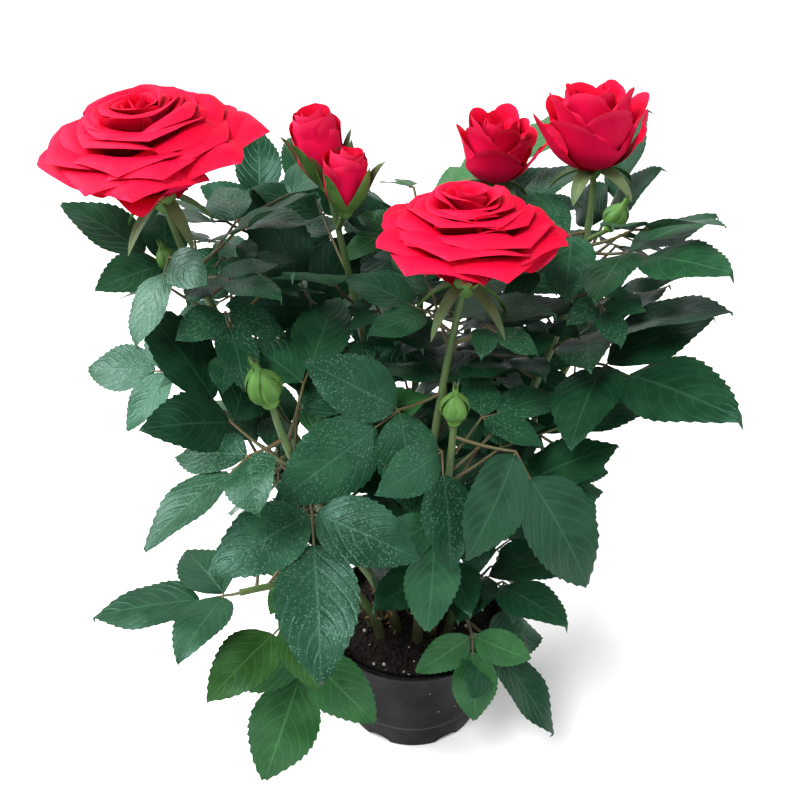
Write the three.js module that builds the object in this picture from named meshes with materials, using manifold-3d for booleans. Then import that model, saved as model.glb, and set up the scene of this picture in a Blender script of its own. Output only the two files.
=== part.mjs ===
// A potted rose bush: a black nursery pot full of soil, fourteen canes that rise from the soil,
// a mass of compound leaves on each cane, two open blooms, two half-open ones, a pair of red
// buds and four green buds. Millimetres and degrees, +Z up, the front of the plant faces -Y.
// The origin is the centre of the pot's flat underside.
import * as THREE from 'three';
import { mergeVertices } from 'three/addons/utils/BufferGeometryUtils.js';
import Module from 'manifold-3d';

const wasm = await Module();
wasm.setup();

// Pot
const POT_HEIGHT = 59;
const RIM_RADIUS = 45;
const RIM_WALL = 2.6;
const LEDGE_HEIGHT = 15;
const LEDGE_RADIUS = 36.5;
const LEDGE_STEP = 1.2;
const FOOT_RADIUS = 33.5;
const BASE_THICKNESS = 5;
const NOTCH_COUNT = 6;
const NOTCH_SIDES = 12;
const NOTCH_RADIUS = 6;
const NOTCH_HEIGHT = 3.2;
const NOTCH_DEPTH = 3;
const POT_SIDES = 40;

// Soil
const SOIL_HEIGHT = 53;
const SOIL_FLAT_RADIUS = 22;
const SOIL_BUMP = 1.6;
const SOIL_SIDES = 28;
const SOIL_RINGS = 4;

// Joints between neighbouring solids, and the canes
const GAP = 0.3;
const CANE_FOOT_RADIUS = 2.7;
const CANE_TIP_RADIUS = 2.0;
const NECK_RADIUS = 1.5;
const CANE_SIDES = 7;
const STEM_SIDES = 5;
const CANE_STEPS = 3;
const STEM_STEPS = 5;

// One compound leaf
const LEAFLET_WIDTH = 0.62;
const LEAFLET_RISE_POWER = 0.62;
const LEAFLET_FALL_POWER = 0.95;
const LEAFLET_WIDEST = LEAFLET_RISE_POWER / (LEAFLET_RISE_POWER + LEAFLET_FALL_POWER);
const LEAFLET_BEND = THREE.MathUtils.degToRad(24);
const LEAFLET_FOLD = Math.tan(THREE.MathUtils.degToRad(12));
const LEAFLET_THICKNESS = 1.1;
// Stations of a blade, by the least length that has them.
const BLADE_STATIONS = [[50, [0.15, 0.42, 0.76]], [40, [0.24, 0.66]], [0, [0.42]]];
const END_STALK_SHARE = 0.24;
const PAIR_SPACING = 0.42;
const PAIR_SIZES = [0.84, 0.7];
const PAIR_SPREAD = THREE.MathUtils.degToRad(62);
const PAIR_STALK = 1.5;
const STALK_FOOT_RADIUS = 1.1;
const STALK_TIP_RADIUS = 0.8;
const SIDE_ROOT_RADIUS = 0.6;
const SIDE_ROOT_SHIFT = 0.8;

// How the leaves fill the crown
const FIRST_SEED = 20261;
const GOLDEN_TURN = 137.5;
const FILL_PASSES = [{ size: 50, fives: 0.5, step: 0.05 }, { size: 38, fives: 0.1, step: 0.08 }];
const CLEARANCE = {
  set: { blade: 2.2, edge: 1.2, crossing: 1.4, stem: 3.0, stalk: 2.0 },
  grown: { blade: 2.6, edge: 2.0, crossing: 1.8, stem: 3.6, stalk: 3.0 },
};
const BLOOM_CLEARANCE = 3;
const FRONT_LIMIT = -42;
const SWINGS = [0, 30, -30, 60, -60, 90, -90, 120, -120, 150, 180];
const SAMPLE_STATIONS = [0.04, 0.15, 0.3, 0.42, 0.58, 0.75, 0.9, 1];
const CROWN_RADII = [[0, 60], [67, 66], [107, 80], [147, 90], [187, 108], [227, 124], [327, 126]];

// The shoots: foot on the soil, two handles and tip of the curve, then the share of it that is
// a bare cane and the share at which the bloom takes over from the leafy stem.
const SHOOTS = {
  left_tall: {
    foot: [-13, 2], curve: [[-34, 10, 137], [-90, 16, 202], [-97, -2, 270]],
    bare: 0.26, neck: 0.88,
  },
  front: {
    foot: [2, -14], curve: [[4, -16, 122], [6, -16, 182], [19, -17, 243]],
    bare: 0.26, neck: 0.9,
  },
  right_tall: {
    foot: [12, 3], curve: [[24, 6, 132], [78, 20, 202], [73, 30, 273]],
    bare: 0.26, neck: 0.9,
  },
  back_right: {
    foot: [6, 12], curve: [[8, 24, 127], [28, 48, 187], [34, 50, 261]],
    bare: 0.28, neck: 0.9,
  },
  back_left: {
    foot: [-6, 9], curve: [[-8, 16, 127], [-20, 24, 187], [-36, 27, 267]],
    bare: 0.26, neck: 0.84,
  },
  left_bud: {
    foot: [-8, -6], curve: [[-16, -22, 107], [-44, -44, 147], [-55, -46, 205]],
    bare: 0.26, neck: 0.93,
  },
  middle_bud: {
    foot: [9, -8], curve: [[14, -24, 107], [12, -36, 147], [15, -37, 191]],
    bare: 0.3, neck: 0.97,
  },
  left_low: {
    foot: [-16, -11], curve: [[-24, -16, 101], [-50, -34, 109], [-76, -42, 108]],
    bare: 0.16, neck: 1,
  },
  right_low: {
    foot: [17, -10], curve: [[20, -12, 73], [24, -16, 89], [27, -20, 103]],
    bare: 0.14, neck: 1,
  },
  back: {
    foot: [-1, 18], curve: [[0, 30, 127], [0, 58, 177], [6, 60, 235]],
    bare: 0.28, neck: 1,
  },
  back_side: {
    foot: [15, 11], curve: [[22, 26, 107], [70, 52, 137], [84, 58, 193]],
    bare: 0.3, neck: 1,
  },
  far_left: {
    foot: [-14, 12], curve: [[-26, 20, 107], [-66, 44, 167], [-72, 52, 243]],
    bare: 0.3, neck: 1,
  },
  right_side: {
    foot: [19, -1], curve: [[32, 4, 102], [60, 4, 125], [74, -4, 165]],
    bare: 0.24, neck: 1,
  },
  left_side: {
    foot: [-20, -3], curve: [[-34, -2, 102], [-56, -8, 127], [-66, -14, 157]],
    bare: 0.24, neck: 1,
  },
};

// The leaves of three leaflets that face the viewer, set by hand. Columns: shoot, share along it,
// compass (0 to the front, 90 to the right), rise, stalk length, length of the end leaflet,
// roll of the blades, sag of the blades below the stalk.
const SET_LEAVES = [
  ['front', 0.73, 300, -6, 20, 50, 58, 18],
  ['left_tall', 0.78, 262, 40, 22, 38, 18, 10],
  ['left_tall', 0.84, 50, 10, 14, 30, 0, 10],
  ['left_tall', 0.6, 250, -10, 42, 38, 40, 0],
  ['left_bud', 0.8, 245, 27, 34, 50, 0, -20],
  ['left_bud', 0.91, 312, -2, 16, 42, -10, 22],
  ['left_bud', 0.72, 6, 16, 22, 52, 0, 54],
  ['front', 0.88, 241, 31, 13, 32, 15, 22],
  ['back_left', 0.64, 241, 37, 36, 46, 27, -21],
  ['back_left', 0.55, 182, 38, 12, 34, 0, -5],
  ['back_left', 0.83, 205, 30, 34, 38, -10, 0],
  ['right_tall', 0.84, 32, 18, 26, 44, -17, 9],
  ['right_tall', 0.64, 35, 10, 32, 56, -22, 5],
  ['right_tall', 0.8, 144, 37, 28, 42, 40, -10],
  ['right_tall', 0.88, 283, -8, 7, 42, 22, 10],
  ['middle_bud', 0.96, 68, -2, 26, 54, -33, 58],
  ['middle_bud', 0.95, 184, 15, 32, 36, 0, 20],
  ['middle_bud', 0.88, 118, 46, 20, 32, -10, 48],
  ['back', 0.97, 310, 36, 8, 36, 10, -4],
  ['back', 0.86, 232, 34, 20, 36, 10, 0],
  ['far_left', 0.89, 184, 69, 26, 34, 0, 25],
  ['left_low', 0.98, 278, -8, 8, 46, 0, 0],
  ['left_low', 0.5, 322, -6, 26, 40, 20, 5],
  ['left_low', 0.34, 318, -35, 34, 52, 40, 26],
  ['right_low', 0.95, 312, 46, 22, 36, 10, 52],
  ['right_low', 0.32, 44, -10, 19, 44, 16, 28],
  ['right_low', 0.6, 38, 52, 24, 40, 0, 46],
  ['right_low', 0.5, 8, 5, 28, 34, 0, 78],
];

// The blooms: the shoot that carries each, its kind, overall width, and the compass and rise of
// its axis. Side buds stand on a twig of their own, at a share along the shoot.
const BLOOMS = [
  { shoot: 'left_tall', kind: 'open', width: 81, compass: 10, rise: 70 },
  { shoot: 'front', kind: 'open', width: 76, compass: 20, rise: 88 },
  { shoot: 'right_tall', kind: 'half', width: 42, compass: 300, rise: 84 },
  { shoot: 'back_right', kind: 'half', width: 32, compass: 30, rise: 86 },
  { shoot: 'back_left', kind: 'red_bud', width: 20, compass: 270, rise: 80 },
  { shoot: 'left_bud', kind: 'green_bud', width: 13.5, compass: 300, rise: 74 },
  { shoot: 'middle_bud', kind: 'green_bud', width: 11, compass: 0, rise: 86 },
];
const TWIN_BUD = {
  shoot: 'back_left', kind: 'red_bud', width: 17, compass: 20, rise: 80,
  stalk: 18, stalkCompass: 18, stalkRise: 46,
};
const SIDE_BUDS = [
  {
    shoot: 'left_tall', at: 0.82, width: 9, compass: 280, rise: 72,
    stalk: 10, stalkCompass: 272, stalkRise: 24,
  },
  {
    shoot: 'right_tall', at: 0.86, width: 10, compass: 50, rise: 64,
    stalk: 15, stalkCompass: 32, stalkRise: 36,
  },
];
// The room that each flower keeps free of leaves: its shoot, middle, radius and half height.
const BLOOM_ROOM = [
  ['left_tall', [-97.5, -4, 284], 40, 22],
  ['front', [19, -17, 254], 38, 20],
  ['right_tall', [69, 31, 295], 21, 21],
  ['back_right', [34, 50, 274], 16, 17],
  ['back_left', [-38, 27, 282], 10, 17],
  ['back_left', [-30, 14, 278], 9, 14],
  ['left_bud', [-55, -46, 215], 6.5, 9],
  ['middle_bud', [15, -37, 198], 5.5, 8],
  ['right_tall', [84, 12, 262], 5, 8],
  ['left_tall', [-103, 4, 250], 4.5, 8],
];

// Petal rings as shares of the bloom's half width: lobes, steps round each lobe, turn, then the
// radius and height at each station from the heart outwards.
const OPEN_RINGS = [
  { lobes: 6, steps: 3, turn: 0, stations: [[0.05, 0.08], [0.5, 0.44], [0.84, 0.58], [1.0, 0.53]] },
  { lobes: 5, steps: 3, turn: 30, stations: [[0.08, 0.26], [0.6, 0.7], [0.84, 0.74]] },
  { lobes: 5, steps: 2, turn: 10, stations: [[0.12, 0.46], [0.42, 0.82], [0.58, 0.86]] },
];
const OPEN_CORE = { radius: 0.3, foot: 0.1, top: 0.92 };
const HALF_RINGS = [
  { lobes: 5, steps: 3, turn: 0, stations: [[0.1, 0.3], [0.78, 0.42], [1.0, 1.36]] },
  { lobes: 5, steps: 2, turn: 36, stations: [[0.2, 0.6], [0.6, 0.8], [0.76, 1.62]] },
];
const HALF_CORE = { radius: 0.44, foot: 0.1, top: 1.72 };
const RED_BUD_RINGS = [
  { lobes: 3, steps: 3, turn: 0, stations: [[0.2, 0.5], [0.94, 0.9], [0.9, 2.6]] },
];
const RED_BUD_CORE = { radius: 0.66, foot: 0.1, top: 3.0 };
const EGG_PROFILE = [[0.75, 0.2], [1, 0.5], [0.66, 0.86], [0, 1]];
const GREEN_BUD_PROFILE = [[0, 0], [0.6, 0.2], [0.5, 0.6], [0.86, 0.9], [1, 1.3], [0.5, 2.2], [0, 2.8]];
const HIP_PROFILE = [[0, -3], [2.8, -1.5], [3.4, 1.5]];
const BUD_SIDES = 8;
const PETAL_THICKNESS = 1.3;
const LOBE_DEPTH = 0.13;
const SEPAL_COUNT = 5;
const SEPALS = {
  open: { length: 19, rise: -40 },
  half: { length: 14, rise: -30 },
  red_bud: { length: 15, rise: 12 },
};
const SEPAL_WIDTH = 0.26;
const SEPAL_ROOT = 0.8;

const up = new THREE.Vector3(0, 0, 1);

// Solids

function solidOf(geometry) {
  const bare = geometry.index ? geometry.clone() : geometry;
  bare.deleteAttribute('normal');
  bare.deleteAttribute('uv');
  const merged = mergeVertices(bare);
  return new wasm.Manifold(new wasm.Mesh({
    numProp: 3,
    vertProperties: new Float32Array(merged.attributes.position.array),
    triVerts: new Uint32Array(merged.index.array),
  }));
}

function geometryOf(solid) {
  const mesh = solid.getMesh();
  const geometry = new THREE.BufferGeometry();
  geometry.setAttribute('position', new THREE.BufferAttribute(new Float32Array(mesh.vertProperties), 3));
  geometry.setIndex(new THREE.BufferAttribute(new Uint32Array(mesh.triVerts), 1));
  geometry.computeVertexNormals();
  return geometry;
}

// Joins solids into one body. Hollows that the joining seals are filled and loose scraps dropped.
function join(solids) {
  let whole = solids[0];
  for (const solid of solids.slice(1)) {
    whole = whole.add(solid);
  }
  const bodies = whole.decompose();
  bodies.sort((a, b) => b.volume() - a.volume());
  return bodies[0];
}

function indexedGeometry(points, triangles) {
  const geometry = new THREE.BufferGeometry();
  const places = points.flatMap((point) => [point.x, point.y, point.z]);
  geometry.setAttribute('position', new THREE.Float32BufferAttribute(places, 3));
  geometry.setIndex(triangles);
  return geometry;
}

function quad(triangles, a, b, c, d) {
  if (a !== b && b !== c && a !== c) {
    triangles.push(a, b, c);
  }
  if (a !== c && c !== d && a !== d) {
    triangles.push(a, c, d);
  }
}

// A closed round limb through the points, with a radius at each and flat ends. The foot is cut
// square to the limb, or to the way that is given for it.
function limb(points, radii, sides, footWay = null) {
  const vertices = [];
  const triangles = [];
  const firstWay = points[1].clone().sub(points[0]).normalize();
  let side = new THREE.Vector3(1, 0, 0);
  if (Math.abs(firstWay.x) > 0.8) {
    side = new THREE.Vector3(0, 1, 0);
  }
  points.forEach((point, i) => {
    const before = points[Math.max(i - 1, 0)];
    const after = points[Math.min(i + 1, points.length - 1)];
    const way = i === 0 && footWay ? footWay : after.clone().sub(before).normalize();
    side = side.clone().addScaledVector(way, -side.dot(way)).normalize();
    const other = way.clone().cross(side);
    for (let k = 0; k < sides; k += 1) {
      const angle = (k / sides) * 2 * Math.PI;
      vertices.push(point.clone()
        .addScaledVector(side, Math.cos(angle) * radii[i])
        .addScaledVector(other, Math.sin(angle) * radii[i]));
    }
  });
  for (let i = 0; i < points.length - 1; i += 1) {
    for (let k = 0; k < sides; k += 1) {
      const next = (k + 1) % sides;
      quad(triangles, i * sides + k, i * sides + next, (i + 1) * sides + next, (i + 1) * sides + k);
    }
  }
  const last = (points.length - 1) * sides;
  for (let k = 1; k < sides - 1; k += 1) {
    triangles.push(0, k + 1, k);
    triangles.push(last, last + k, last + k + 1);
  }
  return solidOf(indexedGeometry(vertices, triangles));
}

function turned(profile, sides) {
  const points = profile.map(([radius, height]) => new THREE.Vector2(radius, height));
  const geometry = new THREE.LatheGeometry(points, sides);
  geometry.rotateX(Math.PI / 2);
  return geometry;
}

// Directions and curves

function direction(compass, rise) {
  const turn = THREE.MathUtils.degToRad(compass);
  const lift = THREE.MathUtils.degToRad(rise);
  return new THREE.Vector3(
    Math.sin(turn) * Math.cos(lift),
    -Math.cos(turn) * Math.cos(lift),
    Math.sin(lift),
  );
}

function routeOf(shoot) {
  const [x, y] = shoot.foot;
  const foot = new THREE.Vector3(x, y, SOIL_HEIGHT + GAP);
  const [first, second, tip] = shoot.curve.map((place) => new THREE.Vector3(...place));
  return new THREE.CubicBezierCurve3(foot, first, second, tip);
}

// Points from one share of the route to another, with each end drawn back by its trim.
function stretch(route, from, to, steps, trimStart, trimEnd) {
  const points = [];
  for (let i = 0; i <= steps; i += 1) {
    points.push(route.getPoint(from + ((to - from) * i) / steps));
  }
  const startWay = points[1].clone().sub(points[0]).normalize();
  const endWay = points[steps].clone().sub(points[steps - 1]).normalize();
  points[0].addScaledVector(startWay, trimStart);
  points[steps].addScaledVector(endWay, -trimEnd);
  return points;
}

function taper(from, to, steps) {
  return Array.from({ length: steps + 1 }, (_, i) => from + ((to - from) * i) / steps);
}

// The seeded random numbers that the leaves are grown with.
let seed = FIRST_SEED;
function random() {
  seed = (seed * 16807) % 2147483647;
  return seed / 2147483647;
}

// The compound leaf

function halfWidth(share) {
  const v = Math.min(Math.max(share, 0), 1);
  return (v / LEAFLET_WIDEST) ** LEAFLET_RISE_POWER
    * ((1 - v) / (1 - LEAFLET_WIDEST)) ** LEAFLET_FALL_POWER;
}

function archHeight(share, length) {
  return (length * LEAFLET_BEND * share * (1 - share)) / 2;
}

// A leaflet is its foot, the way it points, the way across it, its upper side and its length.
function leafOf(row) {
  const { shoot, at, compass, rise, reach, blade, roll, sag, pairs } = row;
  const start = routeOf(SHOOTS[shoot]).getPoint(at);
  const joint = start.clone().addScaledVector(direction(compass, rise), reach);
  const way = direction(compass, rise - sag);
  const flatAcross = way.clone().cross(up).normalize();
  const flatUpper = flatAcross.clone().cross(way);
  const tilt = THREE.MathUtils.degToRad(roll);
  const across = flatAcross.clone().multiplyScalar(Math.cos(tilt))
    .addScaledVector(flatUpper, Math.sin(tilt));
  const upper = flatUpper.clone().multiplyScalar(Math.cos(tilt))
    .addScaledVector(flatAcross, -Math.sin(tilt));
  const endReach = blade * (PAIR_SPACING * (pairs - 1) + END_STALK_SHARE);
  const endFoot = joint.clone().addScaledVector(way, endReach);
  const leaflets = [{ shoot, joint: endFoot, foot: endFoot, way, across, upper, length: blade }];
  for (let pair = 0; pair < pairs; pair += 1) {
    const fork = joint.clone().addScaledVector(way, blade * PAIR_SPACING * (pairs - 1 - pair));
    for (const side of [-1, 1]) {
      const sideWay = way.clone().multiplyScalar(Math.cos(PAIR_SPREAD))
        .addScaledVector(across, side * Math.sin(PAIR_SPREAD));
      const sideAcross = across.clone().multiplyScalar(Math.cos(PAIR_SPREAD))
        .addScaledVector(way, -side * Math.sin(PAIR_SPREAD));
      leaflets.push({
        shoot,
        joint: fork.clone().addScaledVector(way, SIDE_ROOT_SHIFT),
        foot: fork.clone().addScaledVector(sideWay, PAIR_STALK),
        way: sideWay,
        across: sideAcross,
        upper,
        length: blade * PAIR_SIZES[pair],
      });
    }
  }
  return { shoot, start, joint, endFoot, leaflets };
}

// A point of the blade at a share of its length and a share of its half width.
function bladePoint(leaflet, share, aside, lift = 0) {
  const reach = (halfWidth(share) * leaflet.length * LEAFLET_WIDTH) / 2;
  const fold = Math.abs(aside) * reach * LEAFLET_FOLD;
  return leaflet.foot.clone()
    .addScaledVector(leaflet.way, share * leaflet.length)
    .addScaledVector(leaflet.across, aside * reach)
    .addScaledVector(leaflet.upper, archHeight(share, leaflet.length) + fold + lift);
}

// A ring of four corners round a point of a leaflet: left, top, right and bottom.
function diamond(leaflet, middle, radius) {
  return [
    middle.clone().addScaledVector(leaflet.across, -radius),
    middle.clone().addScaledVector(leaflet.upper, radius),
    middle.clone().addScaledVector(leaflet.across, radius),
    middle.clone().addScaledVector(leaflet.upper, -radius),
  ];
}

// A closed thin blade on its stalk. The blade is folded a little along its rib, thickest there
// and sharp at its edge; the stalk is four-sided and runs from the first point to the last.
function bladeSolid(leaflet, stalk, radii) {
  const rings = stalk.map((point, i) => diamond(leaflet, point, radii[i]));
  const [, stations] = BLADE_STATIONS.find(([least]) => leaflet.length >= least);
  for (const share of stations) {
    rings.push([
      bladePoint(leaflet, share, -1),
      bladePoint(leaflet, share, 0, LEAFLET_THICKNESS / 2),
      bladePoint(leaflet, share, 1),
      bladePoint(leaflet, share, 0, -LEAFLET_THICKNESS / 2),
    ]);
  }
  const points = rings.flat();
  const tip = points.length;
  points.push(bladePoint(leaflet, 1, 0));
  const triangles = [0, 2, 1, 0, 3, 2];
  const at = (ring, k) => ring * 4 + (k % 4);
  for (let k = 0; k < 4; k += 1) {
    for (let ring = 0; ring < rings.length - 1; ring += 1) {
      quad(triangles, at(ring, k), at(ring, k + 1), at(ring + 1, k + 1), at(ring + 1, k));
    }
    triangles.push(at(rings.length - 1, k), at(rings.length - 1, k + 1), tip);
  }
  return solidOf(indexedGeometry(points, triangles));
}

// The end leaflet carries the leaf's whole stalk; the side leaflets are rooted in that stalk.
function leafSolids(leaf) {
  return leaf.leaflets.map((leaflet, i) => {
    if (i === 0) {
      const stalk = [leaf.start, leaf.joint, leaflet.foot];
      return bladeSolid(leaflet, stalk, taper(STALK_FOOT_RADIUS, STALK_TIP_RADIUS, 2));
    }
    return bladeSolid(leaflet, [leaflet.joint], [SIDE_ROOT_RADIUS]);
  });
}

// Growing the crown: leaves are tried one by one, and what would touch a neighbour is skipped.

function samplesOf(leaflet) {
  const points = [];
  for (const share of SAMPLE_STATIONS) {
    points.push(bladePoint(leaflet, share, 0));
  }
  for (const share of SAMPLE_STATIONS.slice(1, 7)) {
    for (const aside of [-1, -0.5, 0.5, 1]) {
      points.push(bladePoint(leaflet, share, aside));
    }
  }
  return points;
}

function touchesBlade(point, leaflet, clearance, edge) {
  const away = point.clone().sub(leaflet.foot);
  const share = away.dot(leaflet.way) / leaflet.length;
  const margin = edge / leaflet.length;
  if (share <= -margin || share >= 1 + margin) {
    return false;
  }
  const aside = Math.abs(away.dot(leaflet.across));
  const reach = (halfWidth(share) * leaflet.length * LEAFLET_WIDTH) / 2;
  const height = away.dot(leaflet.upper) - archHeight(share, leaflet.length) - aside * LEAFLET_FOLD;
  return aside < reach + edge && Math.abs(height) < clearance;
}

function crownRadius(height) {
  for (let i = 1; i < CROWN_RADII.length; i += 1) {
    const [lowHeight, lowRadius] = CROWN_RADII[i - 1];
    const [highHeight, highRadius] = CROWN_RADII[i];
    if (height <= highHeight) {
      return lowRadius + ((highRadius - lowRadius) * (height - lowHeight)) / (highHeight - lowHeight);
    }
  }
  return CROWN_RADII.at(-1)[1];
}

const GROUND_CLEARANCE = 3;
const POT_ROOM = { radius: 48, height: 62 };
const LOW_LEAF = { radius: 34, height: 75, floor: 63 };
const STEM_SAMPLES = 90;
const NEAR_MARGIN = 4;
const STALK_SHARES = [0.25, 0.4, 0.55, 0.7, 0.85];
const SPINE_SHARES = [0, 0.25, 0.5, 0.75, 1];

const stemPoints = Object.fromEntries(Object.entries(SHOOTS).map(([name, shoot]) => {
  const route = routeOf(shoot);
  const points = [];
  for (let i = 0; i < STEM_SAMPLES; i += 1) {
    points.push(route.getPoint(i / (STEM_SAMPLES - 1)));
  }
  return [name, points];
}));
const grownLeaflets = [];
const grownStalks = [];

function isBlocked(points, isSet, shoot, leaflet) {
  const isStalk = !leaflet;
  const middle = points.reduce((sum, p) => sum.add(p), new THREE.Vector3()).divideScalar(points.length);
  const radius = Math.max(...points.map((p) => p.distanceTo(middle)));
  const clear = isSet ? CLEARANCE.set : CLEARANCE.grown;
  if (points.some((p) => p.z < GROUND_CLEARANCE)) {
    return true;
  }
  const isOther = (grown) => !isSet || grown.shoot !== shoot;
  const otherStalks = grownStalks.filter(isOther).flatMap((grown) => grown.points);
  for (const other of grownLeaflets.filter(isOther)) {
    const centre = other.foot.clone().addScaledVector(other.way, other.length / 2);
    if (centre.distanceTo(middle) > radius + other.length / 2 + NEAR_MARGIN) {
      continue;
    }
    if (points.some((p) => touchesBlade(p, other, clear.blade, clear.edge))) {
      return true;
    }
    if (leaflet && samplesOf(other).some((p) => touchesBlade(p, leaflet, clear.crossing, clear.edge))) {
      return true;
    }
  }
  if (points.some((p) => otherStalks.some((q) => p.distanceTo(q) < clear.stalk))) {
    return true;
  }
  if (leaflet && otherStalks.some((q) => touchesBlade(q, leaflet, clear.crossing, clear.edge))) {
    return true;
  }
  for (const [name, stem] of Object.entries(stemPoints)) {
    const isOwn = isStalk && name === shoot;
    if (!isOwn && points.some((p) => stem.some((q) => p.distanceTo(q) < clear.stem))) {
      return true;
    }
    if (leaflet && stem.some((q) => touchesBlade(q, leaflet, clear.stem, clear.edge))) {
      return true;
    }
  }
  for (const [owner, centre, roomRadius, halfHeight] of BLOOM_ROOM) {
    const wide = roomRadius + BLOOM_CLEARANCE;
    const high = halfHeight + BLOOM_CLEARANCE;
    const isOwn = isStalk && owner === shoot;
    const isInside = (p) => ((p.x - centre[0]) / wide) ** 2 + ((p.y - centre[1]) / wide) ** 2
      + ((p.z - centre[2]) / high) ** 2 < 1;
    if (!isOwn && points.some(isInside)) {
      return true;
    }
  }
  if (points.some((p) => Math.hypot(p.x, p.y) < POT_ROOM.radius && p.z < POT_ROOM.height)) {
    return true;
  }
  if (isSet) {
    return false;
  }
  return points.some((p) => {
    const out = Math.hypot(p.x, p.y);
    const isLow = p.z < LOW_LEAF.floor || (p.z < LOW_LEAF.height && out > LOW_LEAF.radius);
    return isLow || out > crownRadius(p.z) || p.y < FRONT_LIMIT;
  });
}

function tryLeaf(row, isSet) {
  const leaf = leafOf(row);
  const stalk = [
    ...STALK_SHARES.map((share) => leaf.start.clone().lerp(leaf.joint, share)),
    ...SPINE_SHARES.map((share) => leaf.joint.clone().lerp(leaf.endFoot, share)),
  ];
  if (isBlocked(stalk, isSet, row.shoot, null)) {
    return null;
  }
  const free = leaf.leaflets.filter((one) => !isBlocked(samplesOf(one), isSet, row.shoot, one));
  if (!free.includes(leaf.leaflets[0]) || free.length < 2) {
    return null;
  }
  grownLeaflets.push(...free);
  grownStalks.push({ shoot: row.shoot, points: stalk });
  return { ...leaf, leaflets: free };
}

// Leaves spiral up a shoot by the golden turn; each swings aside until it finds free room.
function fillShoot(name, { size, fives, step }) {
  const shoot = SHOOTS[name];
  const leaves = [];
  let turn = random() * 360;
  for (let at = shoot.bare + 0.03; at < shoot.neck - 0.02; at += step) {
    const height = (at - shoot.bare) / (1 - shoot.bare);
    const rise = 12 + 30 * height + (random() - 0.5) * 16;
    const reach = 18 + random() * 12;
    const blade = size * (1 - 0.15 * at) * (0.85 + 0.3 * random());
    const roll = (random() - 0.5) * 40;
    const sag = 10 + random() * 18;
    const pairs = random() < fives ? 2 : 1;
    for (const swing of SWINGS) {
      const compass = (turn + swing) % 360;
      const leaf = tryLeaf({ shoot: name, at, compass, rise, reach, blade, roll, sag, pairs }, false);
      if (leaf) {
        leaves.push(leaf);
        break;
      }
    }
    turn += GOLDEN_TURN;
  }
  return leaves;
}

function growCrown() {
  const leaves = [];
  for (const [shoot, at, compass, rise, reach, blade, roll, sag] of SET_LEAVES) {
    const leaf = tryLeaf({ shoot, at, compass, rise, reach, blade, roll, sag, pairs: 1 }, true);
    if (leaf) {
      leaves.push(leaf);
    }
  }
  for (const pass of FILL_PASSES) {
    for (const name of Object.keys(SHOOTS).reverse()) {
      leaves.push(...fillShoot(name, pass));
    }
  }
  return leaves;
}

// Flowers, each built upright on its foot and then set on its axis

function petalRing(ring, half) {
  const steps = ring.lobes * ring.steps;
  const turn = THREE.MathUtils.degToRad(ring.turn);
  const sheets = [];
  for (const face of [1, -1]) {
    for (let j = 0; j < ring.stations.length; j += 1) {
      const [radius, height] = ring.stations[j];
      const before = ring.stations[Math.max(j - 1, 0)];
      const after = ring.stations[Math.min(j + 1, ring.stations.length - 1)];
      const along = new THREE.Vector2(after[0] - before[0], after[1] - before[1]).normalize();
      const offset = (face * PETAL_THICKNESS) / 2;
      const isOuter = j / (ring.stations.length - 1);
      for (let k = 0; k < steps; k += 1) {
        const angle = turn + (k / steps) * 2 * Math.PI;
        const lobe = Math.abs(Math.sin((ring.lobes * (angle - turn)) / 2));
        const reach = radius * half * (1 - LOBE_DEPTH * isOuter * (1 - lobe)) - along.y * offset;
        const rise = height * half + along.x * offset;
        sheets.push(new THREE.Vector3(Math.cos(angle) * reach, Math.sin(angle) * reach, rise));
      }
    }
  }
  const rows = ring.stations.length;
  const triangles = [];
  const at = (face, j, k) => (face * rows + j) * steps + (k % steps);
  for (let k = 0; k < steps; k += 1) {
    for (let j = 0; j < rows - 1; j += 1) {
      quad(triangles, at(0, j, k), at(0, j + 1, k), at(0, j + 1, k + 1), at(0, j, k + 1));
      quad(triangles, at(1, j, k), at(1, j, k + 1), at(1, j + 1, k + 1), at(1, j + 1, k));
    }
    quad(triangles, at(0, rows - 1, k), at(1, rows - 1, k), at(1, rows - 1, k + 1), at(0, rows - 1, k + 1));
    quad(triangles, at(0, 0, k), at(0, 0, k + 1), at(1, 0, k + 1), at(1, 0, k));
  }
  return indexedGeometry(sheets, triangles);
}

// The hip under the petals and the closed heart of the bloom above it, in one turned body.
function heartGeometry(core, half) {
  const height = core.top - core.foot;
  const heart = EGG_PROFILE.map(([radius, share]) => [
    radius * core.radius * half,
    (core.foot + share * height) * half,
  ]);
  return turned([...HIP_PROFILE, ...heart], BUD_SIDES);
}

function sepalLeaflets(kind) {
  const { length, rise } = SEPALS[kind];
  return Array.from({ length: SEPAL_COUNT }, (_, i) => {
    const compass = (360 / SEPAL_COUNT) * (i + 0.5);
    const way = direction(compass, rise);
    const across = way.clone().cross(up).normalize();
    return {
      foot: direction(compass, 0).multiplyScalar(2),
      way,
      across: across.multiplyScalar(SEPAL_WIDTH / LEAFLET_WIDTH),
      upper: across.clone().normalize().cross(way),
      length,
    };
  });
}

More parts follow.
